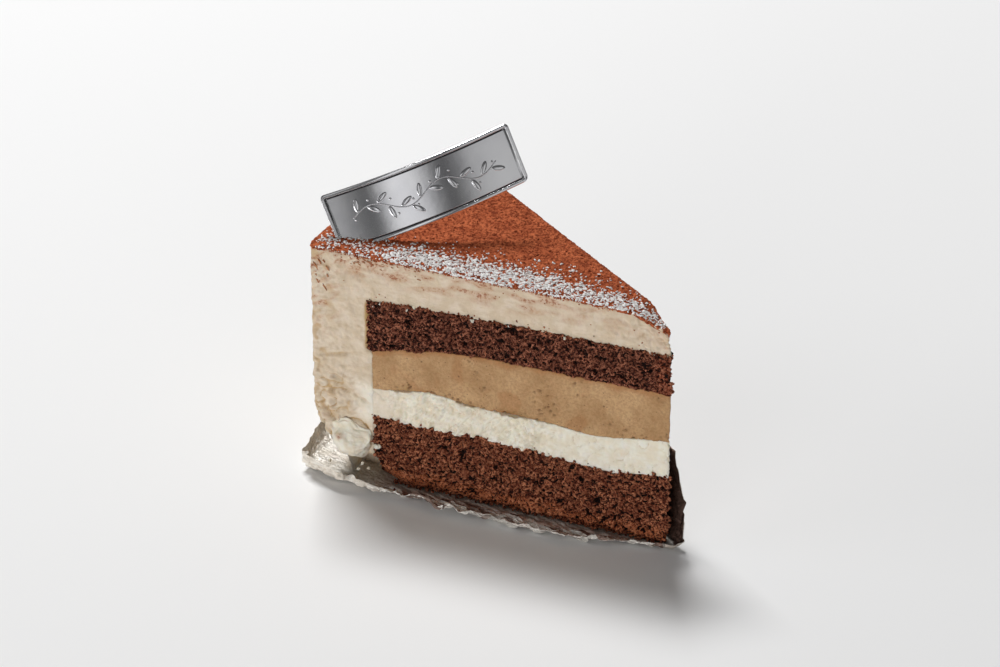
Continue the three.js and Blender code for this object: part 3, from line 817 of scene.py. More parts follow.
def inner_edge(station, z):
    """Where the coat begins on a cut: at the disc of sponge or at the narrower layers below."""
    step = ease(z - CAKE_FLOOR, MOUSSE_TOP(INSERT_RADIUS) - 0.3, MOUSSE_TOP(INSERT_RADIUS) + 0.3)
    wander = 0.3 * noise.noise(Vector((station.ny * 9, 0, z / 1.1)))
    return lerp(LOWER_INSERT_RADIUS, INSERT_RADIUS, step) + wander


def coat_point(station, z):
    """A point of the coat's outside at a station and a height, with its pore and stain."""
    draw_in = foot_tuck(station, z) if station.side == RIM else 0
    if station.side in (NEAR, FAR) and station.along > INSERT_RADIUS - 1e-6:
        outer = CAKE_RADIUS - foot_tuck(station, z)
        share = (station.along - INSERT_RADIUS) / (CAKE_RADIUS - INSERT_RADIUS)
        station = cut_station(station.side, lerp(inner_edge(station, z), outer, share))
    p = Vector((station.x, station.y, z))
    out, pore, stain = coat_relief(p, station)
    p.xy *= 1 - draw_in / CAKE_RADIUS
    p += Vector((station.nx, station.ny, 0)) * out
    p.x -= slumped_back(p)
    return p, pore, stain


def crown_point(station, up):
    return coat_point(station, lerp(upper_top(station), cream_top(station.x, station.y), up))


def skirt_point(station, up):
    return coat_point(station, lerp(CAKE_FLOOR - 0.1, upper_top(station), up))


band = cut_places(INSERT_RADIUS, CAKE_RADIUS, CUT_SPACING)
inner = cut_places(TIP_START, INSERT_RADIUS, CUT_SPACING)[:-1]
around_rim = [rim_station(CAKE_RADIUS, 1 - 2 * i / RIM_STEPS) for i in range(1, RIM_STEPS)]
near_band = [cut_station(NEAR, along) for along in reversed(band)]
far_band = [cut_station(FAR, along) for along in band]
near_inner = [cut_station(NEAR, along) for along in reversed(inner)]
far_inner = [cut_station(FAR, along) for along in inner]

coat = bmesh.new()
wrap(coat, near_band + near_inner + tip_stations() + far_inner + far_band + around_rim, 34, crown_point)
close_end(coat, open_edges(coat, above=CREAM_TOP - 6), slumped_top)
wrap(coat, far_band + around_rim + near_band, 140, skirt_point, closed=False)
print("coat sheets:", len(coat.faces), "faces,", len(open_edges(coat)), "open edges")

# %% [markdown]
# What is left open faces the insert: the ceiling over the upper sponge, the wall behind it, and
# the underside. Bridging the near edge to the far edge closes the ceiling and the wall with plain
# strips, which nobody sees, and `holes_fill` closes the flat underside and the little opening
# that is left round the tip.

# %% Close the coat


def facing_insert(edge):
    """Whether an open edge borders the insert's ceiling or its outer wall, away from the tip."""
    low, high = sorted(edge.verts, key=lambda vert: vert.co.z)
    over = low.co.z > CAKE_FLOOR + 40
    upright = high.co.z - low.co.z > 0.2
    return (over or upright) and max(low.co.x, high.co.x) < -1


bmesh.ops.bridge_loops(coat, edges=[edge for edge in open_edges(coat) if facing_insert(edge)])
bmesh.ops.holes_fill(coat, edges=open_edges(coat), sides=0)
print("open edges left in the coat:", len(open_edges(coat)))
finish(coat, "cream_coat_spread", COAT_CREAM, "whipped_cream", "cream_coat")

# %% [markdown]
# ## The petal of cream at the foot
# Beside the base sponge a lump of cream was squeezed out and curled over like a petal. A sphere is
# flattened against the cut: its upper edge thins out under the crease, its lower part swells into
# a heavy lip, and noise at several sizes gives it an uneven edge and shallow folds.

# %% Petal of cream
PETAL_HALF_WIDTH, PETAL_HALF_HEIGHT = 5.7, 4.6
PETAL_THIN, PETAL_THICK = 0.5, 4.0


def on_near_cut(along, out, z):
    """A point beside the near cut: mm from the tip, mm out of the cut, mm above the ground."""
    return NEAR_AWAY * along + NEAR_OUT * out + Vector((0, 0, z))


def petal_point(x, y, z):
    """Sculpts a point of the unit sphere: x along the cut, y out of it, z up."""
    ball = Vector((x, y, z))
    fold = 0.34 * noise.noise(ball * 1.7 + Vector((7, 0, 0))) + 0.2 * noise.noise(ball * 4.0)
    fold += 0.05 * noise.noise(ball * 10)
    swell = 1 + 0.26 * noise.noise(ball * 1.5 + Vector((3, 0, 0))) + 0.09 * noise.noise(ball * 4)
    heavy = lerp(PETAL_THIN, PETAL_THICK, ease(-z, -0.9, 0.4))
    width = PETAL_HALF_WIDTH * (1 + 0.16 * z) * swell
    out = (heavy + 1.6 * fold) * y if y > 0 else 1.2 * y
    height = PETAL_HEIGHT + PETAL_HALF_HEIGHT * z * swell + 0.4 * fold
    return on_near_cut(PETAL_ALONG + width * (x + 0.08 * z), out, height)


petal = bmesh.new()
petal_pore, petal_stain = [petal.verts.layers.float.new(mark) for mark in MARKS]
bmesh.ops.create_uvsphere(petal, u_segments=96, v_segments=64, radius=1)
smear = on_near_cut(83.0, 2.6, 11.4)
for vert in petal.verts:
    # Painted shade: the petal's edge against the cut darkens to ochre, above its lowest part, and a noise
    # adds a few ochre patches.
    rolled_edge_shade = 0.5 * (1 - ease(vert.co.y, 0.1, 0.5)) if vert.co.z > -0.5 else 0
    vert[petal_pore] = max(rolled_edge_shade, 0.22 * ease(noise.noise(vert.co * 2.3), 0.1, 0.4))
    vert.co = petal_point(*vert.co)
    vert[petal_stain] = 0.75 * (1 - ease((vert.co - smear).length, 0.4, 1.3))
finish(petal, "cream_petal", LOWER_CREAM, "whipped_cream", "cream_coat")

# %% [markdown]
# ## Cocoa on top
# Cocoa was sifted over the cream through a fine sieve. It lies as a skin half a millimetre thick
# with a velvety surface of tiny heaps and pits. The skin is a grid whose rows run from the tip to
# the rim and whose columns fan out between the cuts. It thins out towards the cuts, and its edges
# are extruded down into the cream.

# %% Cocoa skin
FAN_ROWS, FAN_COLUMNS = 380, 205


def powder(x, y):
    """Height of the loose powder over its mean level."""
    p = Vector((x, y, 4))
    heaps = 0.14 * noise.noise(p / 3.2) + 0.42 * abs(noise.noise(p / 1.2))
    heaps += 0.36 * abs(noise.noise(p / 0.6))
    pit = 1 - ease(noise.voronoi(p / 1.6)[0][0], 0.06, 0.3)
    return heaps - 0.12 - 0.35 * pit


def cocoa_height(x, y):
    """Height of the cocoa's surface, which thins out at the cuts."""
    from_cut = -x * SIN - abs(y) * COS
    thin = COCOA_TOP * (1 - ease(from_cut, 0, 1.1))
    return cream_top(x, y) + COCOA_TOP + powder(x, y) * ease(from_cut, -0.4, 0.6) - thin


def cocoa_point(distance, across):
    """A point of the skin by its distance from the tip and its share of the way between the cuts."""
    angle = across * HALF_ANGLE
    x, y = -distance * math.cos(angle), distance * math.sin(angle)
    overhang = 0.35 - 0.4 * ease(distance, 6, 16) + 0.35 * noise.noise(Vector((x, y, 2)) / 0.9)
    edge = ease(abs(across) * distance, distance - 1.5, distance) * ease(distance, 0.3, 2)
    p = Vector((x, y + math.copysign(overhang * edge, across), cocoa_height(x, y)))
    p.x -= slumped_back(p)
    return p


skin = bmesh.new()
fan = bmesh.ops.create_grid(skin, x_segments=FAN_COLUMNS, y_segments=FAN_ROWS, size=0.5)["verts"]
for vert in fan:
    vert.co = cocoa_point(lerp(0.4, CAKE_RADIUS + 0.15, vert.co.y + 0.5), 2 * vert.co.x)
edging = bmesh.ops.extrude_edge_only(skin, edges=open_edges(skin))["geom"]
for vert in (item for item in edging if isinstance(item, bmesh.types.BMVert)):
    vert.co.z -= 0.8
    vert.co.xy += 0.6 * (SLICE_MIDDLE - vert.co.xy).normalized()
bmesh.ops.holes_fill(skin, edges=open_edges(skin), sides=0)


def cocoa_material(name, dark, middle, light):
    material, tree, shader = new_material(name, Roughness=1.0, Specular_IOR_Level=0.1)
    tone = mix(tree, use(tree, MOTTLE, Bumps_per_mm=0.3), middle, light)
    grain = use(tree, GRAIN, Bumps_per_mm=1.4, Low=0.4, High=0.56)
    plug(tree, shader.inputs["Base Color"], mix(tree, grain, dark, tone))
    bump(tree, shader, use(tree, GRAIN, "Value", Bumps_per_mm=1.4), 0.0006)
    return material


COCOA = cocoa_material("Cocoa", screen(130, 60, 37), screen(188, 99, 63), screen(212, 118, 77))
SMEAR_TONES = screen(170, 108, 72), screen(198, 138, 98), screen(208, 154, 116)
SMEAR = cocoa_material("Cocoa dragged into cream", *SMEAR_TONES)
finish(skin, "cocoa_skin", COCOA, "cocoa", "cocoa_dusting")

# %% [markdown]
# ## Strewn things
# Sugar, cocoa grains and crumbs are real meshes, because they break the outline and catch the
# light one by one. Each kind is one piece: a few small shapes, made with an icosphere and dented
# by noise, are joined again and again, each time carried by another matrix. Flecks lie flat,
# grains are turned any way, and streaks are drawn out along the near cut.

# %% Scattering helpers


def small_shapes(count, subdivisions, dent, seed):
    """A few little meshes of different form with a radius of one."""
    shapes = []
    for number in range(count):
        bm = bmesh.new()
        bmesh.ops.create_icosphere(bm, subdivisions=subdivisions, radius=1)
        for vert in bm.verts:
            vert.co *= 1 + dent * noise.noise(vert.co * 1.3 + Vector((seed + number * 7.3, 0, 0)))
        mesh = bpy.data.meshes.new("small shape")
        bm.to_mesh(mesh)
        bm.free()
        shapes.append(mesh)
    return shapes


def lying(point, radius, flatness, chance):
    """Carries a shape to a point as a flat fleck."""
    size = Matrix.Diagonal((radius, radius * chance.uniform(0.45, 1), radius * flatness, 1))
    tilt = Matrix.Rotation(chance.gauss(0, 0.35), 4, "X") @ Matrix.Rotation(chance.gauss(0, 0.35), 4, "Y")
    return Matrix.Translation(point) @ tilt @ Matrix.Rotation(chance.uniform(0, math.tau), 4, "Z") @ size


def tumbled(point, radius, chance):
    """Carries a shape to a point turned any way."""
    axis = Vector((chance.gauss(0, 1), chance.gauss(0, 1), chance.gauss(0, 1))).normalized()
    size = Matrix.Diagonal((radius, radius * chance.uniform(0.6, 1), radius * chance.uniform(0.6, 1), 1))
    return Matrix.Translation(point) @ Matrix.Rotation(chance.uniform(0, math.tau), 4, axis) @ size


def streak(point, length, width, slope):
    """Carries a shape to the near cut, drawn out along it and falling by `slope` radians."""
    upright = NEAR_AWAY.cross(NEAR_OUT)
    along = -NEAR_AWAY * math.cos(slope) + upright * math.sin(slope) * math.copysign(1, -upright.z)
    across = NEAR_OUT.cross(along)
    turn = Matrix((along, across, NEAR_OUT)).transposed().to_4x4()
    return Matrix.Translation(point) @ turn @ Matrix.Diagonal((length / 2, width / 2, 0.12, 1))


def strew(name, moves, shapes, chance, material, slot):
    """One piece with a small shape carried by each of the matrices."""
    bm = bmesh.new()
    for move in moves:
        shape = chance.choice(shapes)
        shape.transform(move)
        bm.from_mesh(shape)
        shape.transform(move.inverted())
    print(name, "has", len(moves), "bits")
    return finish(bm, name, material, slot)


# %% [markdown]
# ## Icing sugar
# The sugar was dusted along the near edge of the top. It is densest at the edge and thins out
# towards the middle, in a ragged front, and there is little of it beside the plaque. The chance
# of a fleck at a place is a product of those three trends and a clumpy noise.

# %% Icing sugar
SUGAR_TRIES = 16500


def sugar_chance(along, inward):
    """How likely a fleck of sugar is, by mm from the tip and mm in from the near cut."""
    wide = lerp(3.8, 7.0, ease(along, 8, 40)) + 2.6 * noise.noise(Vector((along / 4.5, 0, 0)))
    band = 1 - ease(inward, 0.4 * wide, 1.3 * wide)
    dense = lerp(0.25, 1.0, 1 - ease(along, 67, 75)) * lerp(0.6, 1, ease(along, 2, 12))
    clumps = 0.2 + 1.3 * ease(noise.noise(Vector((along / 1.0, inward / 0.8, 5))), -0.25, 0.3)
    stray = 0.06 * (1 - ease(inward, 6, 16))
    return dense * (band * clumps + stray)


def on_top(along, inward, lift=0.0):
    """A point on the cocoa, by mm from the tip along the near cut and mm in from it."""
    flat = NEAR_AWAY * along - NEAR_OUT * inward
    p = Vector((flat.x, flat.y, cocoa_height(flat.x, flat.y) + lift))
    p.x -= slumped_back(p)
    return p


def sugar_flecks(chance):
    flecks = []
    for _ in range(SUGAR_TRIES):
        along, inward = chance.uniform(0.8, 89.5), chance.uniform(-0.3, 15)
        if chance.random() < sugar_chance(along, inward) and inward < 0.6 * along + 0.4:
            radius = chance.uniform(0.16, 0.34) + 0.25 * chance.random() ** 3
            flecks.append(lying(on_top(along, inward, 0.12), radius, 0.4, chance))
    return flecks


def sugar_material():
    material, tree, shader = new_material("Icing sugar", Roughness=0.8)
    tone = mix(tree, use(tree, MOTTLE, Bumps_per_mm=1.1), screen(246, 242, 238), screen(254, 253, 252))
    plug(tree, shader.inputs["Base Color"], tone)
    bump(tree, shader, use(tree, GRAIN, "Value", Bumps_per_mm=5.0), 0.0002)
    return material


chance = random.Random(20)
strew("icing_sugar", sugar_flecks(chance), small_shapes(6, 1, 0.7, 2.0), chance, sugar_material(), "cocoa")

# %% [markdown]
# ## Loose cocoa
# Some powder has rolled into little balls on the top and along its edge, and the knife has drawn
# brown streaks into the cream at the upper corner beside the rim and just below the top.

# %% Loose cocoa grains and streaks
GRAINS_ON_TOP, GRAINS_AT_THE_CUT, GRAINS_AT_THE_TIP = 1500, 1100, 260
CORNER_STREAKS, ROW_STREAKS, STRAY_SPOTS = 9, 46, 12


def cocoa_grains(chance):
    grains = []
    for _ in range(GRAINS_ON_TOP):
        along = 88 * math.sqrt(chance.random())
        angle = chance.uniform(-0.98, 0.98) * HALF_ANGLE
        x, y = -along * math.cos(angle), along * math.sin(angle)
        p = Vector((x, y, cocoa_height(x, y)))
        p.x -= slumped_back(p)
        grains.append(tumbled(p, chance.uniform(0.12, 0.3), chance))
    for _ in range(GRAINS_AT_THE_CUT):
        along, fall = chance.uniform(1, 90), abs(chance.gauss(0, 0.3))
        p = on_top(along, chance.uniform(-0.25, 0.3), -fall)
        grains.append(tumbled(p, chance.uniform(0.1, 0.24), chance))
    for _ in range(GRAINS_AT_THE_TIP):
        along, fall = 5 * chance.random() ** 2, abs(chance.gauss(0, 0.6))
        p = on_top(along, chance.uniform(-0.35, 0.62 * along + 0.35), -fall)
        grains.append(tumbled(p, chance.uniform(0.14, 0.32), chance))
    return grains


def cocoa_streaks(chance):
    """Streaks at the upper corner, a ragged row below the top, and a few strays."""
    streaks = []
    for _ in range(CORNER_STREAKS):
        along, z = chance.uniform(86, 89.5), chance.triangular(44, 58.5, 57)
        slope = chance.uniform(0.7, 1.2)
        streaks.append(streak(on_near_cut(along, 0.02, z), chance.uniform(0.8, 2.4), 0.42, slope))
    for _ in range(ROW_STREAKS):
        along = chance.triangular(58, 86, 78)
        z = CREAM_TOP - 0.2 - abs(chance.gauss(0, 1.0))
        slope = chance.gauss(0.15, 0.3)
        streaks.append(streak(on_near_cut(along, 0.03, z), chance.uniform(0.4, 1.3), 0.26, slope))
    for _ in range(STRAY_SPOTS):
        p = on_near_cut(chance.uniform(4, 89), 0.1, chance.uniform(50, 58))
        streaks.append(streak(p, chance.uniform(0.25, 0.45), 0.25, 0))
    return streaks


chance = random.Random(8)
strew("cocoa_grains", cocoa_grains(chance), small_shapes(4, 1, 0.4, 9.0), chance, COCOA, "cocoa")
strew("cocoa_streaks", cocoa_streaks(chance), small_shapes(5, 2, 0.8, 5.0), chance, SMEAR, "cocoa")

# %% [markdown]
# ## Crumbs and bits of cream
# Crumbs of sponge have fallen on the foil and stuck to the cream, most of all along the lines
# where the layers meet, and bits of cream have been carried onto the sponge and the foil.

# %% Crumbs and bits of cream
CREAM_BITS = (
    # mm along the cut, mm out of it, mm above the ground, radius
    (73.8, 0.7, 9.8, 0.85),
    (76.9, 2.6, 5.4, 0.45),
    (75.4, 2.4, 4.4, 0.4),
    (77.6, 3.4, 4.2, 0.35),
    (85.2, 3.0, 4.6, 0.4),
)
FALLEN_CRUMBS = ((79.3, 4.6, 2.0), (67.5, 5.2, 1.6), (73.2, 3.2, 9.2), (74.4, 1.4, 11.6))
CRUMBS_AT_SEAMS, CRUMBS_AT_FOOT, BITS_ON_SPONGE = 420, 220, 8


def sponge_crumbs(chance):
    crumbs = []
    for _ in range(CRUMBS_AT_SEAMS):
        along = chance.uniform(0, 76)
        top = CAKE_FLOOR + chance.choice((UPPER_SPONGE_TOP, BASE_SPONGE_TOP))(along)
        stray = chance.random() < 0.07
        lift = abs(chance.gauss(0, 1.0)) if stray else chance.gauss(-0.1, 0.22)
        p = on_near_cut(along, chance.uniform(-0.15, 0.2), top + lift)
        crumbs.append(tumbled(p, chance.uniform(0.14, 0.26 if stray else 0.5), chance))
    for _ in range(CRUMBS_AT_FOOT):
        along = chance.uniform(1, 70)
        p = on_near_cut(along, chance.uniform(0, 1.0), CAKE_FLOOR + chance.uniform(-0.1, 0.9))
        crumbs.append(tumbled(p, chance.uniform(0.2, 0.5), chance))
    for along, out, z in FALLEN_CRUMBS:
        crumbs.append(tumbled(on_near_cut(along, out, z), 0.6, chance))
    return crumbs


def cream_bits(chance):
    bits = [tumbled(on_near_cut(along, out, z), radius, chance) for along, out, z, radius in CREAM_BITS]
    for _ in range(BITS_ON_SPONGE):
        along = chance.choice((chance.uniform(58, 75), chance.uniform(1, 75)))
        z = CAKE_FLOOR + UPPER_SPONGE_TOP(along) - abs(chance.gauss(0, 0.8))
        p = on_near_cut(along, chance.uniform(-0.1, 0.2), z)
        bits.append(tumbled(p, chance.uniform(0.2, 0.5), chance))
    return bits


chance = random.Random(31)
crumb_shapes = small_shapes(5, 2, 0.9, 14.0)
strew("sponge_crumbs", sponge_crumbs(chance), crumb_shapes, chance, BASE_SPONGE, "chocolate_sponge")
cream_shapes = small_shapes(5, 4, 0.65, 3.0)
strew("cream_bits", cream_bits(chance), cream_shapes, chance, LOWER_CREAM, "whipped_cream")

# %% [markdown]
# ## Foil sheet
# The slice stands on a sheet of foil that was pressed up round it: a crumpled lip in front, a
# curled rim at the back, and a wall behind the far cut that folds up to two fifths of the height
# of the slice. It is one sheet: a grid wrapped round the outline from under the cake, out over the fold
# and up to its edge, then crinkled. Foil keeps sharp creases, so the crinkles are ridged noise,
# whose slope changes suddenly, and not soft waves. They are drawn out along the near cut, because
# the lip was pressed down from above.

# %% Foil shape
CREASE_SIZES = ((3.2, 1.1), (1.5, 0.8), (0.8, 0.36))  # mm from crease to crease, and their height
FOIL_TOP = 0.5
FOLD_OUT = 1.1
FRONT_REACH = profile([(0, 0.5), (6, 1.9), (15, 4.9), (24, 7.2), (50, 7.2), (80, 5.3), (90, 2.7)])
FRONT_LIFT = profile([(0, 1), (20, 1.6), (60, 1.6), (90, 4.2)])
TIP_REACH = profile([(-1, 0.9), (-0.2, 2.6), (0.4, 3.2), (1, 3.0)])
TIP_LIFT = profile([(-1, 1.1), (0.2, 1.6), (1, 2.4)])
WALL_LIFT = profile(
    [(0, 2.5), (1.2, 9), (2.2, 12.5), (3.4, 19), (4.5, 23), (8, 24), (13, 24), (55, 23.5), (91, 11)]
)
WALL_REACH = 1.9
PAST_TIP = profile([(0, 4.5), (1.2, 2.2), (2.2, 3.6), (3.4, 2.6), (4.5, 1.6), (7, 0.4)])
RIM_REACH = profile([(-1, 2.6), (-0.3, 5.4), (0.4, 5.2), (1, 2.2)])
RIM_LIFT = 4
FOIL_CORNER = 12


def zigzag(place, pitch, seed):
    """A wave of straight slopes whose steps vary in height, from -1 to 1."""
    step = math.floor(place / pitch)
    ends = [noise.noise(Vector((step + i, seed, 0.5)) * 3.7) * 1.8 for i in (0, 1)]
    return lerp(*ends, place / pitch - step)


def foil_edge(station):
    """How far the foil's edge reaches out from its fold, and how high it is lifted."""
    p = Vector((station.x, station.y, 3))
    ripple, swell = noise.noise(p / 3.1), noise.noise(p / 8)
    along = station.along
    teeth = 0.35 * abs((math.hypot(station.x, station.y) / 1.5) % 1 - 0.5)
    if station.side == RIM:
        lift = lerp(RIM_LIFT, WALL_LIFT(CAKE_RADIUS), ease(along, 0.2, 1))
        return RIM_REACH(along) + 0.5 * ripple, lift + 0.6 * swell + 0.5 * ripple
    if station.side == NEAR:
        loose = ease(along, 4, 30)
        fold = 0.9 * zigzag(along, 4.3, 2) + 0.6 * zigzag(along, 1.9, 5)
        reach = FRONT_REACH(along) + loose * (fold + 0.6 * swell) + teeth
        return reach, FRONT_LIFT(along) + 0.9 * loose * abs(fold)
    if station.side == TIP:
        return TIP_REACH(along), TIP_LIFT(along)
    return WALL_REACH + 0.5 * ripple + 0.5 * swell, WALL_LIFT(along) + 0.9 * zigzag(along, 6.1, 9) + teeth


def foil_direction(station):
    """Straight out of a side, turned forwards at the tip and to the diagonal at the rim's corners."""
    straight = Vector((station.nx, station.ny))
    if station.side == TIP:
        return straight.lerp(Vector((1, 0.25)), ease(station.along, 0, 1)).normalized()
    is_rim = station.side == RIM
    half_rim = CAKE_RADIUS * HALF_ANGLE
    from_corner = (1 - abs(station.along)) * half_rim if is_rim else CAKE_RADIUS - station.along
    turned = 0.5 * (1 - ease(from_corner, 0, FOIL_CORNER))
    sideways = math.copysign(1, station.y)
    other = Vector((SIN, sideways * COS)) if is_rim else Vector((-COS, sideways * SIN))
    return straight.lerp(other, turned).normalized()


def crinkle(p):
    """Sharp creases at three sizes, drawn out along the near cut."""
    along, out = p.dot(NEAR_AWAY), p.dot(NEAR_OUT)
    q = Vector((0.3 * along + 0.4 * out, out, p.z))
    ridges = 0
    for size, height in CREASE_SIZES:
        ridges += height * (0.35 - abs(noise.noise(q / size + Vector((size, 0, 0)))) * 1.6)
    return ridges


print("creases in the foil, mm:", [size for size, height in CREASE_SIZES])

# %% [markdown]
# The way across the sheet starts 5 mm in under the cake, runs flat to the fold, and then follows
# a quarter of an ellipse to the edge. Under the cake the foil is pressed flat; in front it is
# crumpled most. The sheet's normals point up, so that Solidify puts its underside below.

# %% Foil mesh
FOIL_ROWS, FLAT_SHARE, FLAT_WIDTH = 46, 0.16, 5


def foil_point(station, up):
    reach, lift = foil_edge(station)
    direction = foil_direction(station).to_3d()
    share = (up - FLAT_SHARE) / (1 - FLAT_SHARE)
    quarter = max(share, 0) * math.pi / 2
    flat = min(up / FLAT_SHARE - 1, 0) * FLAT_WIDTH
    out = FOLD_OUT + flat + reach * math.sin(quarter)
    p = Vector((station.x, station.y, FOIL_TOP + lift * (1 - math.cos(quarter)))) + direction * out
    slope = direction * (-lift * math.sin(quarter)) + Vector((0, 0, reach * math.cos(quarter)))
    front = 1.0 if station.side == NEAR else 0.45
    if station.side == FAR:
        p += Vector((COS, -SIN, 0)) * PAST_TIP(station.along) * math.sin(quarter)
    p += slope.normalized() * crinkle(p) * front * ease(share, -0.02, 0.3)
    p.z = max(p.z, 0.12)
    wall = ease(share, 0.0, 0.2) if station.side in (TIP, FAR) else 0.0
    crumpled = ease(share, -0.05, 0.2) * (1 - ease(station.along, 66, 78)) if station.side == NEAR else 0.2
    return p, wall, crumpled


foil_places = cut_places(TIP_START, CAKE_RADIUS, 0.32)
foil_stations = [cut_station(NEAR, along) for along in reversed(foil_places)] + tip_stations(12)
foil_stations += [cut_station(FAR, along) for along in foil_places]
foil_stations += [rim_station(CAKE_RADIUS, 1 - i / 60) for i in range(1, 120)]


def lies_flat(edge):
    """Whether an open edge is the one under the cake."""
    return all(abs(vert.co.z - FOIL_TOP) < 0.01 for vert in edge.verts)


foil = bmesh.new()
wrap(foil, foil_stations, FOIL_ROWS, foil_point)
print("foil sheet:", len(foil.faces), "faces")
close_end(foil, [edge for edge in open_edges(foil) if lies_flat(edge)], lambda x, y: FOIL_TOP, (0.9, 0.5))

# %% [markdown]
# Foil mirrors what stands round it. Where it is crumpled, which its `stain` attribute says, each
# little facet mirrors something else, and this is painted into the colour: a Voronoi pattern, drawn
# out along the near cut, picks pale facets and brown ones, painted reflections of bright
# surroundings and of the sponge, and its distance is a bump that creases them.
# Elsewhere the sheet has a broad dull sheen. `pore` marks the wall, which stands in the slice's
# shade. Both sides have the same finish in other tones, and Solidify gives them its two slots: the
# side that the viewer sees gets the second one.

# %% Foil finish
FOIL_THICKNESS = 0.00008  # metres
PALE_PAINTED_REFLECTION, BROWN_PAINTED_REFLECTION = screen(255, 250, 242), screen(126, 88, 70)


def foil_material(name, bright, dull, shadow_tone):
    material, tree, shader = new_material(name)
    place = add(tree, "TexCoord").outputs["Object"]
    turned = add(tree, "Mapping", {"Vector": place, "Rotation": (0, 0, -HALF_ANGLE), "Scale": (0.3, 1, 1)})
    facets = add(tree, "TexVoronoi", {"Vector": turned.outputs[0], "Scale": 850.0})
    facet_tone = add(tree, "SeparateColor", {"Color": facets.outputs["Color"]}).outputs["Red"]
    cloud = use(tree, MOTTLE, Bumps_per_mm=0.3)
    crumpled, shadow = attribute(tree, "stain"), attribute(tree, "pore")
    colour = mix(tree, cloud, bright, dull)
    # Painted reflections: crumpled facets are coloured pale and brown, as if mirroring bright surroundings
    # and the sponge.
    colour = mix(tree, times(tree, crumpled, 0.9), colour, PALE_PAINTED_REFLECTION)
    dark = times(tree, between(tree, facet_tone, 0.55, 0.75), times(tree, crumpled, 0.85))
    colour = mix(tree, dark, colour, BROWN_PAINTED_REFLECTION)
    plug(tree, shader.inputs["Base Color"], mix(tree, shadow, colour, shadow_tone))
    rough = add(tree, "MapRange", {"Value": cloud, "To Min": 0.44, "To Max": 0.56}).outputs[0]
    rough = calc(tree, "SUBTRACT", rough, times(tree, crumpled, 0.24))
    plug(tree, shader.inputs["Roughness"], rough)
    metal = plus(tree, times(tree, crumpled, 0.15), times(tree, shadow, 0.3))
    plug(tree, shader.inputs["Metallic"], plus(tree, metal, 0.35))
    fine = times(tree, facets.outputs["Distance"], plus(tree, crumpled, 0.3))
    bump(tree, shader, plus(tree, use(tree, MOTTLE, "Value", Bumps_per_mm=0.9), fine), 0.0008)
    return material


UPPER_TONES = screen(214, 210, 202), screen(188, 180, 167), screen(86, 64, 55)
UNDERSIDE_TONES = screen(252, 246, 236), screen(232, 222, 208), screen(206, 196, 184)
FOIL_UPPER = foil_material("Foil upper side", *UPPER_TONES)
FOIL_LOWER = foil_material("Foil underside", *UNDERSIDE_TONES)
foil_piece = finish(foil, "foil_wrap", FOIL_LOWER, "foil", "foil_sheet")
foil_piece.data.materials.append(FOIL_UPPER)
flat_part = max(foil_piece.data.polygons, key=lambda face: face.area)
if flat_part.normal.z < 0:
    foil_piece.data.flip_normals()
print("foil faces up under the cake:", flat_part.normal.z)
thickness = foil_piece.modifiers.new("Thickness", "SOLIDIFY")
thickness.thickness = FOIL_THICKNESS
thickness.offset = -1
thickness.material_offset = 1

# %% [markdown]
# ## Plaque
# A strip of metallised card, bowed across its length, stands tilted in the cocoa. It has a raised
# border with a dark line inside it. The strip starts as one face: bevelling rounds its corners,
# each `inset_region` draws the next outline inwards and raises or lowers it, bisecting cuts it
# across so that it can bend, and the bend itself is one move of every vertex. A small bevel
# softens the edges, and weighted normals keep the flat faces flat in what they mirror.

# %% Plaque shape
PLAQUE_LENGTH, PLAQUE_WIDTH, PLAQUE_THICKNESS = 47, 14.4, 0.6
PLAQUE_SLICES = 64
BORDER_SLOPE, BORDER_HEIGHT, BORDER_WIDTH = 0.16, 0.2, 0.62
LINE_WIDTH, PANEL_RISE = 0.3, 0.1
BEND_RADIUS = 120
SAG = 0.8  # how far the strip's middle sinks in its own plane
PLAQUE_MIDDLE = Vector((-69.9, -6.3, 71.7))
FACING, LEAN, ROLL = math.radians(41.3), math.radians(24), math.radians(21.6)


def plaque_matrix():
    """Carries the plaque's own axes, along it, across it and out of its face, onto the cake."""
    right = Vector((math.cos(FACING), math.sin(FACING), 0))
    towards = Vector((math.sin(FACING), -math.cos(FACING), 0))
    rise = Vector((0, 0, math.cos(LEAN))) - towards * math.sin(LEAN)
    face = towards * math.cos(LEAN) + Vector((0, 0, math.sin(LEAN)))
    along = right * math.cos(ROLL) + rise * math.sin(ROLL)
    across = rise * math.cos(ROLL) - right * math.sin(ROLL)
    turn = Matrix((along, across, face)).transposed().to_4x4()
    return Matrix.Translation(PLAQUE_MIDDLE) @ turn


def bow(bm):
    """Bends a flat shape back from the middle of its length and puts it on the cake."""
    for vert in bm.verts:
        sink = SAG * (1 - (2 * vert.co.x / PLAQUE_LENGTH) ** 2)
        angle, radius = vert.co.x / BEND_RADIUS, BEND_RADIUS + vert.co.z
        x, z = radius * math.sin(angle), radius * math.cos(angle) - BEND_RADIUS
        vert.co = Vector((x, vert.co.y - sink, z))
    bmesh.ops.transform(bm, matrix=plaque_matrix(), verts=bm.verts)


def inset(bm, faces, thickness, depth):
    """Draws a border inside the faces and moves what it encloses by depth; gives the border."""
    inset_region = bmesh.ops.inset_region
    return inset_region(bm, faces=faces, thickness=thickness, depth=depth, use_even_offset=True)["faces"]


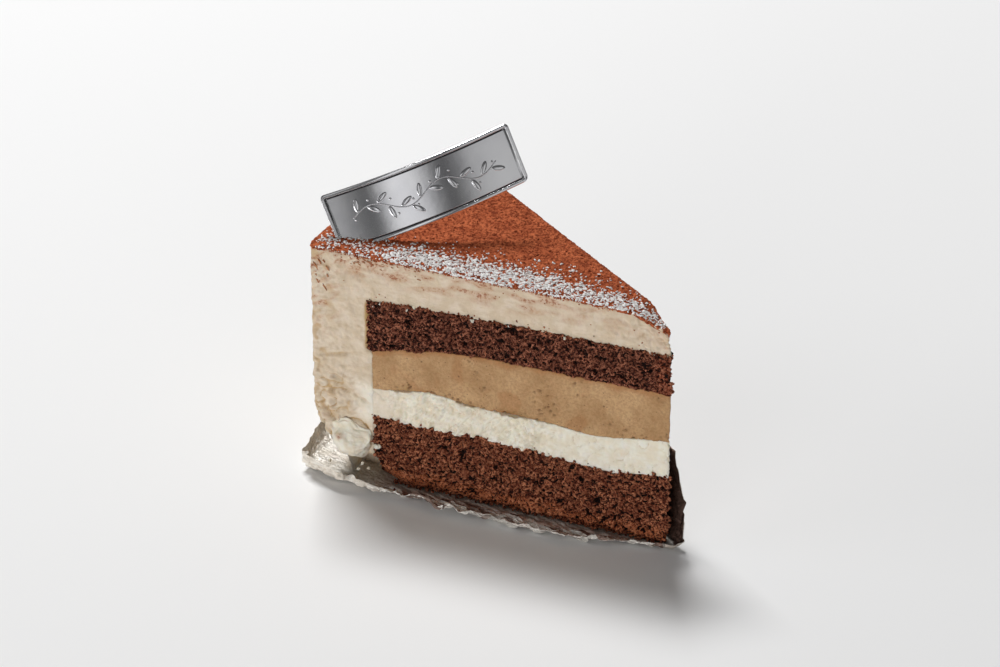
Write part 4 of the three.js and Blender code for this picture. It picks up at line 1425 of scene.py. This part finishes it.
plaque = bmesh.new()
bmesh.ops.create_grid(plaque, x_segments=1, y_segments=1, size=0.5)
bmesh.ops.scale(plaque, vec=(PLAQUE_LENGTH, PLAQUE_WIDTH, 1), verts=plaque.verts)
raised = bmesh.ops.extrude_face_region(plaque, geom=plaque.faces[:])["geom"]
raised = [item for item in raised if isinstance(item, bmesh.types.BMVert)]
lowered = [vert for vert in plaque.verts if vert not in raised]
bmesh.ops.translate(plaque, vec=(0, 0, PLAQUE_THICKNESS / 2), verts=raised)
bmesh.ops.translate(plaque, vec=(0, 0, -PLAQUE_THICKNESS / 2), verts=lowered)
bmesh.ops.recalc_face_normals(plaque, faces=plaque.faces)
upright = [edge for edge in plaque.edges if abs(edge.verts[0].co.z - edge.verts[1].co.z) > 0.1]
bmesh.ops.bevel(plaque, geom=upright, offset=1.1, segments=5, profile=0.5, affect="EDGES", material=-1)
panel = [face for face in plaque.faces if face.normal.z > 0.9]
inset(plaque, panel, BORDER_SLOPE, BORDER_HEIGHT)
inset(plaque, panel, BORDER_WIDTH, 0.0)
inset(plaque, panel, BORDER_SLOPE, -BORDER_HEIGHT)
line = inset(plaque, panel, LINE_WIDTH, 0.0)
inset(plaque, panel, 0.1, PANEL_RISE)
for face in line:
    face.material_index = 1
for i in range(1, PLAQUE_SLICES):
    place = Vector(((i / PLAQUE_SLICES - 0.5) * PLAQUE_LENGTH, 0, 0))
    geometry = plaque.verts[:] + plaque.edges[:] + plaque.faces[:]
    bmesh.ops.bisect_plane(plaque, geom=geometry, plane_co=place, plane_no=Vector((1, 0, 0)), dist=1e-5)
bow(plaque)


def metal_material(name, colour, second, roughness):
    material, tree, shader = new_material(name, Metallic=1.0, Roughness=roughness)
    cloud = use(tree, MOTTLE, Bumps_per_mm=0.08)
    plug(tree, shader.inputs["Base Color"], mix(tree, cloud, colour, second))
    bump(tree, shader, use(tree, MOTTLE, "Value", Bumps_per_mm=0.2), 0.00003, 0.6)
    return material


SILVER = metal_material("Plaque silver", screen(238, 238, 240), screen(228, 228, 232), 0.13)
DARK_LINE = metal_material("Plaque line", screen(60, 56, 57), screen(44, 42, 43), 0.35)
plaque_piece = finish(plaque, "plaque_strip", SILVER, "plaque_metal", "plaque")
plaque_piece.data.materials.append(DARK_LINE)
edge_bevel = plaque_piece.modifiers.new("Soft edges", "BEVEL")
edge_bevel.width = 0.00006
edge_bevel.segments = 2
edge_bevel.limit_method = "ANGLE"
plaque_piece.modifiers.new("Flat faces stay flat", "WEIGHTED_NORMAL")

# %% [markdown]
# The panel carries a plain embossed spray, as many such cards do: a winding stem with leaves on
# both sides. A leaf is a sphere pressed flat, and the stem is a row of short drawn-out ones. They
# are laid out on the flat panel and bent along with it.

# %% Embossed spray
SPRAY_HALF_LENGTH, SPRAY_WAVE, SPRAY_RISE = 17.5, 17.5, 1.7
STEM_STEPS, LEAF_TURN, LEAF_REACH = 70, 0.85, 1.9
STEM_SIZE, LEAF_SIZE, BERRY_SIZE = (0.95, 0.34, 0.05), (3.3, 1.25, 0.12), (0.62, 0.62, 0.08)


def emboss(bm, x, y, turn, length, width, height):
    """Adds a long flat dome to the panel at x, y."""
    dome = bmesh.ops.create_uvsphere(bm, u_segments=20, v_segments=10, radius=1)["verts"]
    size = Matrix.Diagonal((length / 2, width / 2, height, 1))
    level = PLAQUE_THICKNESS / 2 + PANEL_RISE
    move = Matrix.Translation((x, y, level)) @ Matrix.Rotation(turn, 4, "Z") @ size
    bmesh.ops.transform(bm, matrix=move, verts=dome)


def stem_height(x):
    return SPRAY_RISE * math.sin(math.tau * x / SPRAY_WAVE)


spray = bmesh.new()
for i in range(STEM_STEPS + 1):
    x = lerp(-SPRAY_HALF_LENGTH, SPRAY_HALF_LENGTH, i / STEM_STEPS)
    slope = math.atan(SPRAY_RISE * math.tau / SPRAY_WAVE * math.cos(math.tau * x / SPRAY_WAVE))
    emboss(spray, x, stem_height(x), slope, *STEM_SIZE)
    if i % 5 == 2:
        side = 1 if i % 10 == 2 else -1
        turn = slope + side * LEAF_TURN
        leaf_x, leaf_y = x + LEAF_REACH * math.cos(turn), stem_height(x) + LEAF_REACH * math.sin(turn)
        emboss(spray, leaf_x, leaf_y, turn, *LEAF_SIZE)
        emboss(spray, x - 0.9 * side, stem_height(x) - side * 1.25, 0, *BERRY_SIZE)
bow(spray)
finish(spray, "plaque_spray", SILVER, "plaque_metal", "plaque")

# %% [markdown]
# ## Stage, light and camera
# The camera's place and lens come from a fit to the photograph's edges: it stands about 86 cm off
# and looks down on the slice by 30 degrees, with a long lens, so that upright edges stay upright.

# %% Camera
CAMERA_AT = Vector((0.513527, -0.590864, 0.48057))
LOOK_AT = Vector((0.017377, -0.025414, 0.05652))

camera_data = bpy.data.cameras.new("Camera")
camera_data.lens = 138.7
camera_data.sensor_width = 36
camera = bpy.data.objects.new("Camera", camera_data)
camera.location = CAMERA_AT
camera.rotation_euler = (LOOK_AT - CAMERA_AT).to_track_quat("-Z", "Y").to_euler()
bpy.context.scene.collection.objects.link(camera)
bpy.context.scene.camera = camera


def stage_piece(name, bm, material):
    """Something of the studio, which isn't part of the slice."""
    mesh = bpy.data.meshes.new(name)
    bm.to_mesh(mesh)
    bm.free()
    mesh.materials.append(material)
    made = bpy.data.objects.new(name, mesh)
    bpy.context.scene.collection.objects.link(made)
    return made


print("camera's distance in metres:", (CAMERA_AT - LOOK_AT).length)

# %% [markdown]
# The floor is one large pale sheet, a tenth of a millimetre under the foil. It fills the whole
# view, because the camera looks down.

# %% Floor
FLOOR_HALF_WIDTH = 3
floor_shape = bmesh.new()
bmesh.ops.create_grid(floor_shape, x_segments=1, y_segments=1, size=FLOOR_HALF_WIDTH)
bmesh.ops.translate(floor_shape, vec=(0, 0, -0.0001), verts=floor_shape.verts)
floor_material, _, floor_shader = new_material("Pale floor", Roughness=0.8, Specular_IOR_Level=0.2)
floor_shader.inputs["Base Color"].default_value = screen(240, 240, 240)
stage_piece("Floor", floor_shape, floor_material)

# %% [markdown]
# A polished plaque only shows what stands round it. In front of it a curved card gives it
# something to mirror: pale at both ends, with two dark flags on either side of a bright middle.
# The brightness is a vertex attribute, set by the angle round the slice.

# %% Card for the plaque to mirror
CARD_DISTANCE, CARD_LOW, CARD_HIGH, CARD_HALF_ANGLE = 1.5, 0.3, 0.95, 30
CARD_GLOW = profile(
    [(-26, 0.42), (-22, 0.34), (-18.5, 0.14), (-15.5, 0.04), (-13.5, 0.1), (-11, 0.74), (-8, 0.86)]
    + [(-4, 0.74), (-1.5, 0.5), (1.5, 0.12), (4.3, 0.03), (7, 0.15), (12, 0.42), (18, 0.5)]
)

TOWARDS = (CAMERA_AT - LOOK_AT).to_2d().normalized().to_3d()  # level, from the slice to the camera
RIGHT = Vector((-TOWARDS.y, TOWARDS.x, 0))

card = bmesh.new()
glow = card.verts.layers.float.new("glow")
for vert in bmesh.ops.create_grid(card, x_segments=120, y_segments=1, size=0.5)["verts"]:
    degrees = 2 * CARD_HALF_ANGLE * vert.co.x
    vert[glow] = CARD_GLOW(degrees)
    angle = math.radians(degrees)
    height = lerp(CARD_LOW, CARD_HIGH, vert.co.y + 0.5)
    vert.co = (TOWARDS * math.cos(angle) + RIGHT * math.sin(angle)) * CARD_DISTANCE + Vector((0, 0, height))
card_material, card_tree, card_shader = new_material("Card", Roughness=1.0, Emission_Strength=1.0)
card_shader.inputs["Base Color"].default_value = (0, 0, 0, 1)
plug(card_tree, card_shader.inputs["Emission Color"], attribute(card_tree, "glow"))
stage_piece("Mirrored card", card, card_material)

# %% [markdown]
# The key light is a soft one high behind the slice, so the shadow falls towards the viewer. A long
# low one from the viewer's left fills the near cut, and a weak one at the far left opens the rim.
# The fill leaves no mirror image on the plaque. The glint is seen only in mirror images: it stands
# close to the floor and picks out the creases of the foil's lip.

# %% Lights


def area_light(name, right, towards, up, width, height, power):
    """A soft light placed by how far right, towards the viewer and up it is, in metres."""
    data = bpy.data.lights.new(name, "AREA")
    data.shape, data.size, data.size_y, data.energy = "RECTANGLE", width, height, power
    light = bpy.data.objects.new(name, data)
    light.location = RIGHT * right + TOWARDS * towards + Vector((0, 0, up))
    light.rotation_euler = (Vector((0, 0, 0.03)) - light.location).to_track_quat("-Z", "Y").to_euler()
    bpy.context.scene.collection.objects.link(light)
    return light


area_light("Key", -0.3, -0.8, 1.37, 0.62, 0.33, 23.1)
area_light("Side", -1.2, 0.1, 0.4, 0.8, 0.6, 2.0)
fill = area_light("Fill", -0.45, 1.1, 0.15, 0.6, 0.24, 5.15)
fill.visible_glossy = False
glint = area_light("Glint", -0.75, 0.9, 0.05, 0.6, 0.14, 1.5)
glint.visible_diffuse = False

world = bpy.data.worlds.new("Studio")
world.use_nodes = True
world.node_tree.nodes["Background"].inputs["Color"].default_value = (1, 1, 1, 1)
world.node_tree.nodes["Background"].inputs["Strength"].default_value = 0.1
bpy.context.scene.world = world
bpy.context.scene.view_settings.view_transform = "Standard"

print("lights:", sorted(light.name for light in bpy.data.objects if light.type == "LIGHT"))
